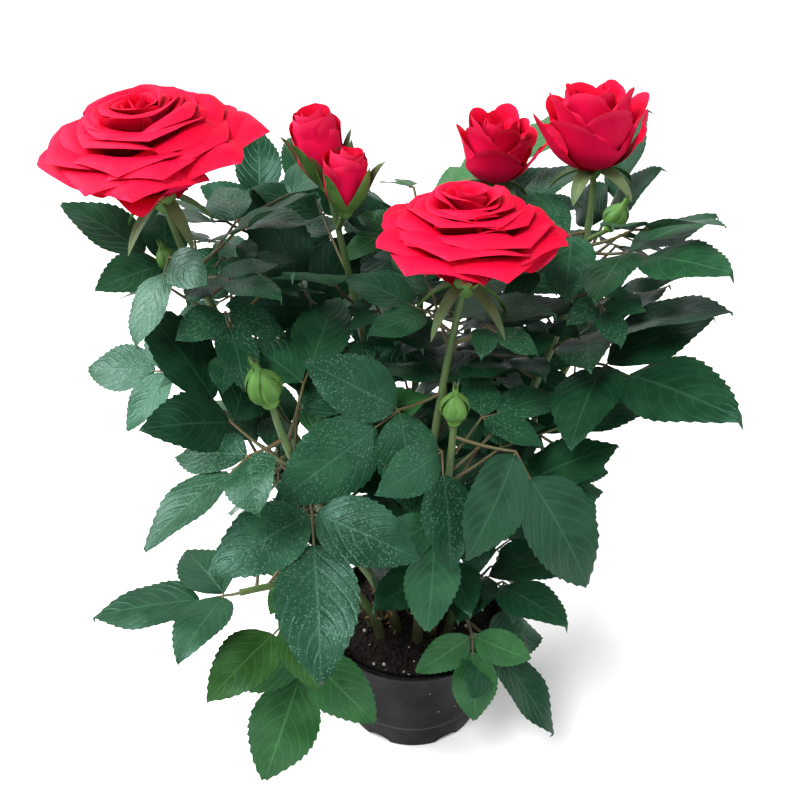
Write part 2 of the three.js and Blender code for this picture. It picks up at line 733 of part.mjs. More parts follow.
function flowerSolids(kind, width, axis, foot) {
  const half = width / 2;
  const geometries = [];
  const solids = [];
  const place = new THREE.Matrix4().makeRotationFromQuaternion(
    new THREE.Quaternion().setFromUnitVectors(up, axis),
  ).setPosition(foot);
  if (kind === 'green_bud') {
    geometries.push(turned(GREEN_BUD_PROFILE.map(([r, h]) => [r * half, h * half]), BUD_SIDES));
  } else {
    const rings = { open: OPEN_RINGS, half: HALF_RINGS, red_bud: RED_BUD_RINGS }[kind];
    const core = { open: OPEN_CORE, half: HALF_CORE, red_bud: RED_BUD_CORE }[kind];
    geometries.push(...rings.map((ring) => petalRing(ring, half)));
    geometries.push(heartGeometry(core, half));
  }
  for (const geometry of geometries) {
    geometry.applyMatrix4(place);
    solids.push(solidOf(geometry));
  }
  if (SEPALS[kind]) {
    const turnOnly = new THREE.Matrix4().extractRotation(place);
    for (const sepal of sepalLeaflets(kind)) {
      sepal.foot.applyMatrix4(place);
      for (const key of ['way', 'across', 'upper']) {
        sepal[key].applyMatrix4(turnOnly);
      }
      solids.push(bladeSolid(sepal, [sepal.foot], [SEPAL_ROOT]));
    }
  }
  return solids;
}

// A bud on a stalk of its own, which may leave the stem at another slant than the bud's.
function sideBud(bud, start, radius) {
  const { kind = 'green_bud', width, compass, rise, stalk } = bud;
  const { stalkCompass = compass, stalkRise = rise } = bud;
  const axis = direction(compass, rise);
  const foot = start.clone().addScaledVector(direction(stalkCompass, stalkRise), stalk);
  const end = foot.clone().addScaledVector(axis, 1);
  return [limb([start, end], [radius, radius], STEM_SIDES), ...flowerSolids(kind, width, axis, foot)];
}

// Materials

const POT_PLASTIC = { color: '#232325', roughness: 0.5, metalness: 0 };
const SOIL_EARTH = { color: '#16120f', roughness: 1, metalness: 0 };
const CANE_BARK = { color: '#4f6b34', roughness: 0.6, metalness: 0 };
const LEAF_GREEN = { color: '#2c5a3c', roughness: 0.4, metalness: 0 };
const PETAL_RED = { color: '#e0143c', roughness: 0.55, metalness: 0 };
const BUD_GREEN = { color: '#6fa53a', roughness: 0.5, metalness: 0 };

const bush = new THREE.Group();

function addPart(name, solid, look) {
  const mesh = new THREE.Mesh(geometryOf(solid), new THREE.MeshStandardMaterial(look));
  mesh.name = name;
  bush.add(mesh);
}

// The pot: a tapered wall on a narrower foot band, with arched notches round the foot.
function makePot() {
  const innerRadius = RIM_RADIUS - RIM_WALL;
  const profile = [
    [0, 0], [FOOT_RADIUS, 0], [LEDGE_RADIUS - LEDGE_STEP, LEDGE_HEIGHT - LEDGE_STEP],
    [LEDGE_RADIUS, LEDGE_HEIGHT], [RIM_RADIUS - 0.4, POT_HEIGHT - 1], [RIM_RADIUS - 1, POT_HEIGHT],
    [innerRadius, POT_HEIGHT], [FOOT_RADIUS - RIM_WALL, BASE_THICKNESS], [0, BASE_THICKNESS],
  ];
  let pot = solidOf(turned(profile, POT_SIDES));
  for (let i = 0; i < NOTCH_COUNT; i += 1) {
    const notch = new THREE.CylinderGeometry(NOTCH_RADIUS, NOTCH_RADIUS, 2 * NOTCH_DEPTH, NOTCH_SIDES);
    notch.scale(1, 1, NOTCH_HEIGHT / NOTCH_RADIUS);
    notch.translate(0, FOOT_RADIUS, 0);
    notch.rotateZ(((i + 0.5) / NOTCH_COUNT) * 2 * Math.PI);
    pot = pot.subtract(solidOf(notch));
  }
  return pot;
}

// The soil: it fills the pot to a few millimetres below the rim, flat where the canes stand.
function makeSoil() {
  const wallRadius = (height) => FOOT_RADIUS - RIM_WALL
    + ((RIM_RADIUS - FOOT_RADIUS) * (height - BASE_THICKNESS)) / (POT_HEIGHT - BASE_THICKNESS) - 2 * GAP;
  const foot = BASE_THICKNESS + GAP;
  const edge = wallRadius(SOIL_HEIGHT - SOIL_BUMP);
  const points = [new THREE.Vector3(0, 0, foot), new THREE.Vector3(0, 0, SOIL_HEIGHT)];
  const rings = [[wallRadius(foot), foot, 0], [edge, SOIL_HEIGHT - SOIL_BUMP, 0]];
  for (let j = 1; j < SOIL_RINGS; j += 1) {
    const radius = edge + ((SOIL_FLAT_RADIUS - edge) * j) / (SOIL_RINGS - 1);
    rings.push([radius, SOIL_HEIGHT, j === SOIL_RINGS - 1 ? 0 : SOIL_BUMP]);
  }
  for (const [radius, height, bump] of rings) {
    for (let k = 0; k < SOIL_SIDES; k += 1) {
      const angle = (k / SOIL_SIDES) * 2 * Math.PI;
      const wave = Math.sin(5 * angle + radius) * Math.cos(3 * angle - radius);
      points.push(new THREE.Vector3(
        Math.cos(angle) * radius, Math.sin(angle) * radius, height + bump * wave,
      ));
    }
  }
  const triangles = [];
  const at = (ring, k) => 2 + ring * SOIL_SIDES + (k % SOIL_SIDES);
  for (let k = 0; k < SOIL_SIDES; k += 1) {
    triangles.push(0, at(0, k + 1), at(0, k));
    for (let ring = 0; ring < rings.length - 1; ring += 1) {
      quad(triangles, at(ring, k), at(ring, k + 1), at(ring + 1, k + 1), at(ring + 1, k));
    }
    triangles.push(1, at(rings.length - 1, k), at(rings.length - 1, k + 1));
  }
  return solidOf(indexedGeometry(points, triangles));
}

addPart('pot', makePot(), POT_PLASTIC);
addPart('soil', makeSoil(), SOIL_EARTH);

const leaves = growCrown();
for (const [name, shoot] of Object.entries(SHOOTS)) {
  const route = routeOf(shoot);
  const cane = stretch(route, 0, shoot.bare, CANE_STEPS, 0, GAP / 2);
  const caneRadii = taper(CANE_FOOT_RADIUS, CANE_TIP_RADIUS, CANE_STEPS);
  addPart(`cane_${name}`, limb(cane, caneRadii, CANE_SIDES, up), CANE_BARK);

  const stem = stretch(route, shoot.bare, shoot.neck, STEM_STEPS, GAP / 2, GAP / 2);
  const solids = [limb(stem, taper(CANE_TIP_RADIUS, NECK_RADIUS, STEM_STEPS), STEM_SIDES)];
  for (const leaf of leaves.filter((one) => one.shoot === name)) {
    solids.push(...leafSolids(leaf));
  }
  for (const bud of SIDE_BUDS.filter((one) => one.shoot === name)) {
    solids.push(...sideBud(bud, route.getPoint(bud.at), NECK_RADIUS * 0.8));
  }
  addPart(`leaves_${name}`, join(solids), LEAF_GREEN);
}

for (const { shoot, kind, width, compass, rise } of BLOOMS) {
  const { neck } = SHOOTS[shoot];
  const route = routeOf(SHOOTS[shoot]);
  const tip = route.getPoint(1);
  const axis = direction(compass, rise);
  const stalk = stretch(route, neck, 1, 3, GAP / 2, 0);
  stalk.push(tip.clone().addScaledVector(axis, 1));
  const solids = [limb(stalk, taper(NECK_RADIUS, NECK_RADIUS, 4), STEM_SIDES)];
  solids.push(...flowerSolids(kind, width, axis, tip));
  if (TWIN_BUD.shoot === shoot) {
    solids.push(...sideBud(TWIN_BUD, route.getPoint((1 + neck) / 2), NECK_RADIUS));
  }
  addPart(`bloom_${shoot}`, join(solids), kind === 'green_bud' ? BUD_GREEN : PETAL_RED);
}

export default bush;
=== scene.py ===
# %% [markdown]
# A miniature rose bush in a black nursery pot. The solids give the pot, the canes, the masses
# of leaves and the blooms as plain faceted shapes; this script dresses them, petal by petal and
# leaf by leaf, inside the same reach. All sizes below are in millimetres until a mesh is made.

# %% Load the fixed frame
import math

import bpy
import numpy as np
from mathutils import Matrix, Vector


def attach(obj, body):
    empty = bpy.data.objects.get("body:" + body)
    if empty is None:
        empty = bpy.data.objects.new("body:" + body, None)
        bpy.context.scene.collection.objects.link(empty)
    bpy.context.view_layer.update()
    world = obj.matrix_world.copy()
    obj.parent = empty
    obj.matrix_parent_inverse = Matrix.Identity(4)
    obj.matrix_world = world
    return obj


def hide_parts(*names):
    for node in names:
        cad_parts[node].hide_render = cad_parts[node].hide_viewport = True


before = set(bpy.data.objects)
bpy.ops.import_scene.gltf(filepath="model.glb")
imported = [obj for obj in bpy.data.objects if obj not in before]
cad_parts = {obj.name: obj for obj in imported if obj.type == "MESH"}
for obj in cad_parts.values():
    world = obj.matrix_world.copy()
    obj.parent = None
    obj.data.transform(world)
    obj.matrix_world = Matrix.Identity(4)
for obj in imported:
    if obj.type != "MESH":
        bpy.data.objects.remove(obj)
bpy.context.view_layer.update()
MM = 0.001

# %% [markdown]
# The shoots. A rose bush is a bundle of canes from one crown of roots, so each shoot is one
# curve from the soil to its flower. Its lower part is bare, its middle carries leaves, and its
# neck carries the bloom. A Bezier curve holds a shoot in four points, which is why the same
# few numbers can steer the bark, the leaves and the flower.

# %% The shoots
SOIL_HEIGHT = 53
SOLID_GAP = 0.3
# Each shoot: foot on the soil, two handles and tip, bare share, share where the bloom begins.
SHOOTS = {
    "left_tall": ((-13, 2), ((-34, 10, 137), (-90, 16, 202), (-97, -2, 270)), 0.26, 0.88),
    "front": ((2, -14), ((4, -16, 122), (6, -16, 182), (19, -17, 243)), 0.26, 0.9),
    "right_tall": ((12, 3), ((24, 6, 132), (78, 20, 202), (73, 30, 273)), 0.26, 0.9),
    "back_right": ((6, 12), ((8, 24, 127), (28, 48, 187), (34, 50, 261)), 0.28, 0.9),
    "back_left": ((-6, 9), ((-8, 16, 127), (-20, 24, 187), (-36, 27, 267)), 0.26, 0.84),
    "left_bud": ((-8, -6), ((-16, -22, 107), (-44, -44, 147), (-55, -46, 205)), 0.26, 0.93),
    "middle_bud": ((9, -8), ((14, -24, 107), (12, -36, 147), (15, -37, 191)), 0.3, 0.97),
    "left_low": ((-16, -11), ((-24, -16, 101), (-50, -34, 109), (-76, -42, 108)), 0.16, 1),
    "right_low": ((17, -10), ((20, -12, 73), (24, -16, 89), (27, -20, 103)), 0.14, 1),
    "back": ((-1, 18), ((0, 30, 127), (0, 58, 177), (6, 60, 235)), 0.28, 1),
    "back_side": ((15, 11), ((22, 26, 107), (70, 52, 137), (84, 58, 193)), 0.3, 1),
    "far_left": ((-14, 12), ((-26, 20, 107), (-66, 44, 167), (-72, 52, 243)), 0.3, 1),
    "right_side": ((19, -1), ((32, 4, 102), (60, 4, 125), (74, -4, 165)), 0.24, 1),
    "left_side": ((-20, -3), ((-34, -2, 102), (-56, -8, 127), (-66, -14, 157)), 0.24, 1),
}


def unit(vector):
    return vector / np.linalg.norm(vector)


def direction(compass, rise):
    """The way that points to a compass angle (0 to the front, 90 to the right) and rises."""
    turn, lift = math.radians(compass), math.radians(rise)
    return np.array([
        math.sin(turn) * math.cos(lift),
        -math.cos(turn) * math.cos(lift),
        math.sin(lift),
    ])


def route_point(name, share):
    """A point of a shoot's curve, from 0 at the soil to 1 at its tip."""
    (x, y), handles, _, _ = SHOOTS[name]
    corners = np.array(((x, y, SOIL_HEIGHT + SOLID_GAP), *handles))
    rest = 1 - share
    weights = (rest**3, 3 * share * rest**2, 3 * share**2 * rest, share**3)
    return sum(weight * corner for weight, corner in zip(weights, corners))


print(len(SHOOTS), "shoots, the tallest to", max(s[1][2][2] for s in SHOOTS.values()), "mm")

# %% [markdown]
# The growth rule. A rose leaf is compound: an end leaflet and one or two pairs of side leaflets
# on one stalk. The leaves that face the viewer are listed one by one, and all others spiral up
# their shoot by the golden turn, drawn with a fixed seed. A leaf that would cut a neighbour, a
# cane or a flower swings aside, and is left out when no room is free. A particle system would be
# quicker, but it lets leaves run through each other, which shows at once in a close view. The
# last passes grow smaller leaves than the solids have, and hang them down into the gaps.

# %% The shape of a leaflet
LEAFLET_WIDTH = 0.62
RISE_POWER = 0.62
FALL_POWER = 0.95
WIDEST = RISE_POWER / (RISE_POWER + FALL_POWER)
LEAFLET_BEND = math.radians(24)
LEAFLET_FOLD = math.tan(math.radians(12))


def half_width(share):
    share = np.clip(share, 0, 1)
    return (share / WIDEST) ** RISE_POWER * ((1 - share) / (1 - WIDEST)) ** FALL_POWER


def arch_height(share, length):
    return length * LEAFLET_BEND * share * (1 - share) / 2


def blade_points(leaflet, shares, asides):
    """Points of a blade at shares of its length and shares of its half width."""
    shares, asides = np.asarray(shares, float), np.asarray(asides, float)
    reach = half_width(shares) * leaflet["length"] * LEAFLET_WIDTH / 2
    height = arch_height(shares, leaflet["length"]) + np.abs(asides) * reach * LEAFLET_FOLD
    return (
        leaflet["foot"]
        + np.outer(shares * leaflet["length"], leaflet["way"])
        + np.outer(asides * reach, leaflet["across"])
        + np.outer(height, leaflet["upper"])
    )


print("a leaflet is widest at", round(WIDEST, 2), "of its length")

# %% One compound leaf
END_STALK_SHARE = 0.24
PAIR_SPACING = 0.42
PAIR_SIZES = (0.84, 0.7)
PAIR_SPREAD = math.radians(62)
PAIR_STALK = 1.5
SIDE_ROOT_SHIFT = 0.8
SAMPLE_STATIONS = (0.04, 0.15, 0.3, 0.42, 0.58, 0.75, 0.9, 1)


def make_leaf(shoot, at, compass, rise, reach, blade, roll, sag, pairs):
    """A compound leaf: where its stalk starts and forks, and its leaflets, end leaflet first."""
    start = route_point(shoot, at)
    joint = start + direction(compass, rise) * reach
    way = direction(compass, rise - sag)
    flat_across = unit(np.cross(way, (0, 0, 1)))
    flat_upper = np.cross(flat_across, way)
    tilt = math.radians(roll)
    across = flat_across * math.cos(tilt) + flat_upper * math.sin(tilt)
    upper = flat_upper * math.cos(tilt) - flat_across * math.sin(tilt)
    end_foot = joint + way * blade * (PAIR_SPACING * (pairs - 1) + END_STALK_SHARE)
    leaflets = [dict(joint=end_foot, foot=end_foot, way=way, across=across, length=blade)]
    for pair in range(pairs):
        fork = joint + way * blade * PAIR_SPACING * (pairs - 1 - pair)
        for side in (-1, 1):
            side_way = way * math.cos(PAIR_SPREAD) + across * side * math.sin(PAIR_SPREAD)
            side_across = across * math.cos(PAIR_SPREAD) - way * side * math.sin(PAIR_SPREAD)
            leaflets.append(dict(
                joint=fork + way * SIDE_ROOT_SHIFT, foot=fork + side_way * PAIR_STALK,
                way=side_way, across=side_across, length=blade * PAIR_SIZES[pair],
            ))
    for leaflet in leaflets:
        leaflet.update(shoot=shoot, upper=upper)
        leaflet["centre"] = tuple(leaflet["foot"] + leaflet["way"] * leaflet["length"] / 2)
        leaflet["samples"] = sample_blade(leaflet)
    return dict(at=at, start=start, joint=joint, end_foot=end_foot, leaflets=leaflets)


def sample_blade(leaflet):
    shares = list(SAMPLE_STATIONS)
    asides = [0] * len(shares)
    for share in SAMPLE_STATIONS[1:7]:
        shares += [share] * 4
        asides += [-1, -0.5, 0.5, 1]
    return blade_points(leaflet, shares, asides)


print("a leaflet is tested at", len(SAMPLE_STATIONS), "stations along it")

# %% The room that stems and flowers keep
STEM_SAMPLES = 90
CLEARANCE = {
    "set": {"blade": 2.2, "edge": 1.2, "crossing": 1.4, "stem": 3.0, "stalk": 2.0},
    "grown": {"blade": 2.6, "edge": 2.0, "crossing": 1.8, "stem": 3.6, "stalk": 3.0},
}
STEM_REACH = 12
NEAR_MARGIN = 4
BLOOM_CLEARANCE = 3
# The room that each flower keeps free of leaves: shoot, middle, radius, half height.
BLOOM_ROOM = (
    ("left_tall", (-97.5, -4, 284), 40, 22),
    ("front", (19, -17, 254), 38, 20),
    ("right_tall", (69, 31, 295), 21, 21),
    ("back_right", (34, 50, 274), 16, 17),
    ("back_left", (-38, 27, 282), 10, 17),
    ("back_left", (-30, 14, 278), 9, 14),
    ("left_bud", (-55, -46, 215), 6.5, 9),
    ("middle_bud", (15, -37, 198), 5.5, 8),
    ("right_tall", (84, 12, 262), 5, 8),
    ("left_tall", (-103, 4, 250), 4.5, 8),
)
GROUND_CLEARANCE = 3
POT_ROOM_RADIUS = 48
POT_ROOM_HEIGHT = 62
# Grown leaves also keep inside the crown, leave the pot's rim free and stay behind a limit.
CROWN_HEIGHTS = (0, 67, 107, 147, 187, 227, 327)
CROWN_RADII = (60, 66, 80, 90, 108, 124, 126)
LOW_LEAF_RADIUS = 34
LOW_LEAF_HEIGHT = 75
LOW_LEAF_FLOOR = 63
FRONT_LIMIT = -42
stem_shares = np.arange(STEM_SAMPLES) / (STEM_SAMPLES - 1)
stem_points = np.array([route_point(name, share) for name in SHOOTS for share in stem_shares])
stem_owners = np.repeat(list(SHOOTS), STEM_SAMPLES)
print(len(stem_points), "points on the stems and", len(BLOOM_ROOM), "flowers to keep clear of")

# %% What a leaf would touch
def touches_blade(points, leaflet, clearance, edge):
    away = points - leaflet["foot"]
    share = away @ leaflet["way"] / leaflet["length"]
    margin = edge / leaflet["length"]
    aside = np.abs(away @ leaflet["across"])
    reach = half_width(share) * leaflet["length"] * LEAFLET_WIDTH / 2
    height = away @ leaflet["upper"] - arch_height(share, leaflet["length"])
    height = height - aside * LEAFLET_FOLD
    inside = (share > -margin) & (share < 1 + margin)
    return bool((inside & (aside < reach + edge) & (np.abs(height) < clearance)).any())


def any_nearer(points, others, distance):
    if len(others) == 0:
        return False
    gaps = np.linalg.norm(points[:, None] - others[None], axis=2)
    return bool((gaps < distance).any())


grown_leaflets = []
grown_stalks = []

# %% Room for a leaf
def is_blocked(points, is_set, shoot, leaflet):
    """Whether a stalk, or a leaflet where one is given, would touch what has already grown."""
    clear = CLEARANCE["set" if is_set else "grown"]
    middle = points.mean(0)
    centre_of_points = tuple(middle)
    radius = np.linalg.norm(points - middle, axis=1).max()
    if (points[:, 2] < GROUND_CLEARANCE).any():
        return True

    def cuts_leaflet(others, gap):
        return leaflet and touches_blade(others, leaflet, clear[gap], clear["edge"])

    for other in grown_leaflets:
        if is_set and other["shoot"] == shoot:
            continue
        room = radius + other["length"] / 2 + NEAR_MARGIN
        if math.dist(other["centre"], centre_of_points) > room:
            continue
        if touches_blade(points, other, clear["blade"], clear["edge"]):
            return True
        if cuts_leaflet(other["samples"], "crossing"):
            return True
    stalks = [p for owner, p in grown_stalks if not (is_set and owner == shoot)]
    stalks = np.concatenate(stalks) if stalks else np.zeros((0, 3))
    near = np.linalg.norm(stem_points - middle, axis=1) < radius + STEM_REACH
    if leaflet is None:
        near &= stem_owners != shoot
    if any_nearer(points, stalks, clear["stalk"]) or cuts_leaflet(stalks, "crossing"):
        return True
    if any_nearer(points, stem_points[near], clear["stem"]):
        return True
    if cuts_leaflet(stem_points[near], "stem"):
        return True
    for owner, centre, room_radius, half_height in BLOOM_ROOM:
        wide, high = room_radius + BLOOM_CLEARANCE, half_height + BLOOM_CLEARANCE
        away = (points - centre) / (wide, wide, high)
        if not (leaflet is None and owner == shoot) and ((away**2).sum(1) < 1).any():
            return True
    out = np.hypot(points[:, 0], points[:, 1])
    heights = points[:, 2]
    if ((out < POT_ROOM_RADIUS) & (heights < POT_ROOM_HEIGHT)).any():
        return True
    if is_set:
        return False
    is_low = (heights < LOW_LEAF_FLOOR) | ((heights < LOW_LEAF_HEIGHT) & (out > LOW_LEAF_RADIUS))
    is_far = out > np.interp(heights, CROWN_HEIGHTS, CROWN_RADII)
    return bool((is_low | is_far | (points[:, 1] < FRONT_LIMIT)).any())


# %% Leaves listed one by one
# Each leaf: shoot, share along it, compass, rise, stalk, end leaflet, roll, sag.
SET_LEAVES = (
    ("front", 0.73, 300, -6, 20, 50, 58, 18),
    ("left_tall", 0.78, 262, 40, 22, 38, 18, 10),
    ("left_tall", 0.84, 50, 10, 14, 30, 0, 10),
    ("left_tall", 0.6, 250, -10, 42, 38, 40, 0),
    ("left_bud", 0.8, 245, 27, 34, 50, 0, -20),
    ("left_bud", 0.91, 312, -2, 16, 42, -10, 22),
    ("left_bud", 0.72, 6, 16, 22, 52, 0, 54),
    ("front", 0.88, 241, 31, 13, 32, 15, 22),
    ("back_left", 0.64, 241, 37, 36, 46, 27, -21),
    ("back_left", 0.55, 182, 38, 12, 34, 0, -5),
    ("back_left", 0.83, 205, 30, 34, 38, -10, 0),
    ("right_tall", 0.84, 32, 18, 26, 44, -17, 9),
    ("right_tall", 0.64, 35, 10, 32, 56, -22, 5),
    ("right_tall", 0.8, 144, 37, 28, 42, 40, -10),
    ("right_tall", 0.88, 283, -8, 7, 42, 22, 10),
    ("middle_bud", 0.96, 68, -2, 26, 54, -33, 58),
    ("middle_bud", 0.95, 184, 15, 32, 36, 0, 20),
    ("middle_bud", 0.88, 118, 46, 20, 32, -10, 48),
    ("back", 0.97, 310, 36, 8, 36, 10, -4),
    ("back", 0.86, 232, 34, 20, 36, 10, 0),
    ("far_left", 0.89, 184, 69, 26, 34, 0, 25),
    ("left_low", 0.98, 278, -8, 8, 46, 0, 0),
    ("left_low", 0.5, 322, -6, 26, 40, 20, 5),
    ("left_low", 0.34, 318, -35, 34, 52, 40, 26),
    ("right_low", 0.95, 312, 46, 22, 36, 10, 52),
    ("right_low", 0.32, 44, -10, 19, 44, 16, 28),
    ("right_low", 0.6, 38, 52, 24, 40, 0, 46),
    ("right_low", 0.5, 8, 5, 28, 34, 0, 78),
)
# Smaller leaves that hang before the canes in the middle; the solids do without them.
COVER_LEAVES = (
    ("front", 0.6, 5, 25, 28, 38, 20, 80),
    ("middle_bud", 0.78, 345, -10, 22, 38, 30, 60),
)
print(len(SET_LEAVES), "leaves set by hand, and", len(COVER_LEAVES), "smaller ones")

# %% The growth rule
FIRST_SEED = 20261
GOLDEN_TURN = 137.5
SWINGS = (0, 30, -30, 60, -60, 90, -90, 120, -120, 150, 180)
STALK_SHARES = (0.25, 0.4, 0.55, 0.7, 0.85)
SPINE_SHARES = (0, 0.25, 0.5, 0.75, 1)
# What the rule draws for each leaf: its least, how far it strays, and how it changes up the shoot.
RISE_LEAST, RISE_STRAY, RISE_GAIN = 12, 16, 30
BLADE_LEAST, BLADE_STRAY, BLADE_LOSS = 0.85, 0.3, 0.15
REACH_LEAST, REACH_STRAY = 18, 12
SAG_LEAST, SAG_STRAY = 10, 18
ROLL_STRAY = 40
FOOT_MARGIN = 0.03
NECK_MARGIN = 0.02
print(len(SWINGS), "ways are tried for each grown leaf")

# %% Seeded dice
class Dice:
    """Seeded random numbers, the same ones on every run."""

    FACTOR = 16807
    CYCLE = 2147483647

    def __init__(self, seed):
        self.state = seed

    def roll(self):
        self.state = self.state * self.FACTOR % self.CYCLE
        return self.state / self.CYCLE


print("the first roll is always", round(Dice(FIRST_SEED).roll(), 4))

# %% Try one leaf
def try_leaf(row, is_set):
    leaf = make_leaf(*row)
    stalk = [leaf["start"] + (leaf["joint"] - leaf["start"]) * share for share in STALK_SHARES]
    stalk += [leaf["joint"] + (leaf["end_foot"] - leaf["joint"]) * share for share in SPINE_SHARES]
    stalk = np.array(stalk)
    if is_blocked(stalk, is_set, row[0], None):
        return None
    end = leaf["leaflets"][0]
    if is_blocked(end["samples"], is_set, row[0], end):
        return None
    free = [end] + [
        one for one in leaf["leaflets"][1:] if not is_blocked(one["samples"], is_set, row[0], one)
    ]
    if len(free) < 2:
        return None
    grown_leaflets.extend(free)
    grown_stalks.append((row[0], stalk))
    leaf["leaflets"] = free
    return leaf


# %% Fill one shoot
def fill_shoot(name, size, fives, step, droop, dice):
    _, _, bare, neck = SHOOTS[name]
    leaves = []
    turn = dice.roll() * 360
    at = bare + FOOT_MARGIN
    while at < neck - NECK_MARGIN:
        height = (at - bare) / (1 - bare)
        rise = RISE_LEAST + RISE_GAIN * height + (dice.roll() - 0.5) * RISE_STRAY
        reach = REACH_LEAST + dice.roll() * REACH_STRAY
        blade = size * (1 - BLADE_LOSS * at) * (BLADE_LEAST + BLADE_STRAY * dice.roll())
        roll = (dice.roll() - 0.5) * ROLL_STRAY
        sag = SAG_LEAST + dice.roll() * SAG_STRAY + droop
        pairs = 2 if dice.roll() < fives else 1
        for swing in SWINGS:
            row = (name, at, (turn + swing) % 360, rise, reach, blade, roll, sag, pairs)
            leaf = try_leaf(row, False)
            if leaf:
                leaves.append(leaf)
                break
        turn += GOLDEN_TURN
        at += step
    return leaves


# %% Grow the crown
# Passes of the rule: size of the end leaflet, share of leaves with five leaflets, step along the
# shoot, and extra droop. The fine passes grow smaller leaves than the solids have.
FILL_PASSES = ((50, 0.5, 0.05, 0), (38, 0.1, 0.08, 0))
FINE_PASSES = ((34, 0.3, 0.04, 52), (28, 0.3, 0.035, 46), (23, 0.2, 0.035, 34))
dice = Dice(FIRST_SEED)
set_leaves = [try_leaf((*row, 1), True) for row in SET_LEAVES]
leaves = [leaf for leaf in set_leaves if leaf]
for growth in FILL_PASSES:
    for name in reversed(SHOOTS):
        leaves += fill_shoot(name, *growth, dice)
print(len(leaves), "leaves as in the solids,", len(grown_leaflets), "leaflets")
cover_leaves = [try_leaf((*row, 1), True) for row in COVER_LEAVES]
leaves += [leaf for leaf in cover_leaves if leaf]
for growth in FINE_PASSES:
    for name in reversed(SHOOTS):
        leaves += fill_shoot(name, *growth, dice)
print(len(leaves), "leaves with the finer ones,", len(grown_leaflets), "leaflets")

# %% [markdown]
# Meshes and node trees. Leaflets, stalks, prickles and soil grains repeat, so Geometry Nodes
# place them: a mesh of points or lines carries the rule's numbers as attributes, and a small
# tree turns them into shapes. The result is then kept as a plain mesh.

# %% Helpers for meshes
SHARP_ANGLE = math.radians(50)
pieces = []


def link_object(name, data):
    made = bpy.data.objects.new(name, data)
    bpy.context.scene.collection.objects.link(made)
    return made


def mesh_object(name, points, faces, edges=()):
    mesh = bpy.data.meshes.new(name)
    mesh.from_pydata([tuple(float(c) * MM for c in point) for point in points], edges, faces)
    mesh.update()
    return link_object(name, mesh)


def put_attribute(mesh, name, kind, domain, values):
    key = "vector" if kind == "FLOAT_VECTOR" else "value"
    mesh.attributes.new(name, kind, domain).data.foreach_set(key, np.ravel(values).tolist())


def shade_smooth(mesh):
    """Smooth shading that keeps the sharp rims of thin plates."""
    for polygon in mesh.polygons:
        polygon.use_smooth = True
    mesh.set_sharp_from_angle(angle=SHARP_ANGLE)


def keep_result(made):
    """Turn what an object's modifier makes into its plain mesh."""
    graph = bpy.context.evaluated_depsgraph_get()
    grown = made.evaluated_get(graph)
    mesh = bpy.data.meshes.new_from_object(grown, preserve_all_data_layers=True, depsgraph=graph)
    made.modifiers.clear()
    made.data = mesh


def keep(made, slot, *nodes):
    """Note a finished piece, its material slot and the solids that it stands for."""
    pieces.append((made, slot, nodes))
    made.data.calc_loop_triangles()
    print(made.name, len(made.data.loop_triangles), "triangles")


# %% Turned bodies
RIB_COUNT = 5
RIB_MEAN = 0.6


def turned(profile, sides, ribs=0.0):
    """A turned body, from its lower pole to its upper one, that may carry ribs."""
    middle, points, faces = profile[1:-1], [], []
    for out, up in middle:
        for side in range(sides):
            turn = 2 * math.pi * side / sides
            radius = out * (1 + ribs * (abs(math.cos(RIB_COUNT / 2 * turn)) - RIB_MEAN))
            points.append((radius * math.cos(turn), radius * math.sin(turn), up))
    points += [(0, 0, profile[0][1]), (0, 0, profile[-1][1])]
    last = (len(middle) - 1) * sides
    for side in range(sides):
        after = (side + 1) % sides
        for low in range(0, last, sides):
            high = low + sides
            faces.append((low + side, low + after, high + after, high + side))
        faces.append((len(points) - 2, after, side))
        faces.append((len(points) - 1, last + side, last + after))
    return points, faces


# %% Bodies gathered into one piece
class Gathered:
    """Closed bodies that are gathered into one piece."""

    def __init__(self):
        self.points, self.faces = [], []

    def add(self, points, faces):
        first = len(self.points)
        self.points += list(points)
        self.faces += [[first + int(corner) for corner in face] for face in faces]

    def build(self, name, *finishes):
        made = mesh_object(name, self.points, self.faces)
        for finish in finishes:
            made.data.materials.append(finish)
        shade_smooth(made.data)
        return made


# %% Helpers for nodes
class Nodes:
    """Adds nodes to a tree, and links or sets what goes into them."""

    def __init__(self, tree):
        self.tree = tree

    def put(self, socket, source):
        if isinstance(source, bpy.types.NodeSocket):
            self.tree.links.new(source, socket)
        else:
            socket.default_value = source

    def add(self, kind, inputs=None, out=0, **settings):
        """A new node's output, or all of them where out is None."""
        node = self.tree.nodes.new(kind)
        for key, value in settings.items():
            setattr(node, key, value)
        for socket, source in (inputs or {}).items():
            self.put(node.inputs[socket], source)
        return node.outputs if out is None else node.outputs[out]


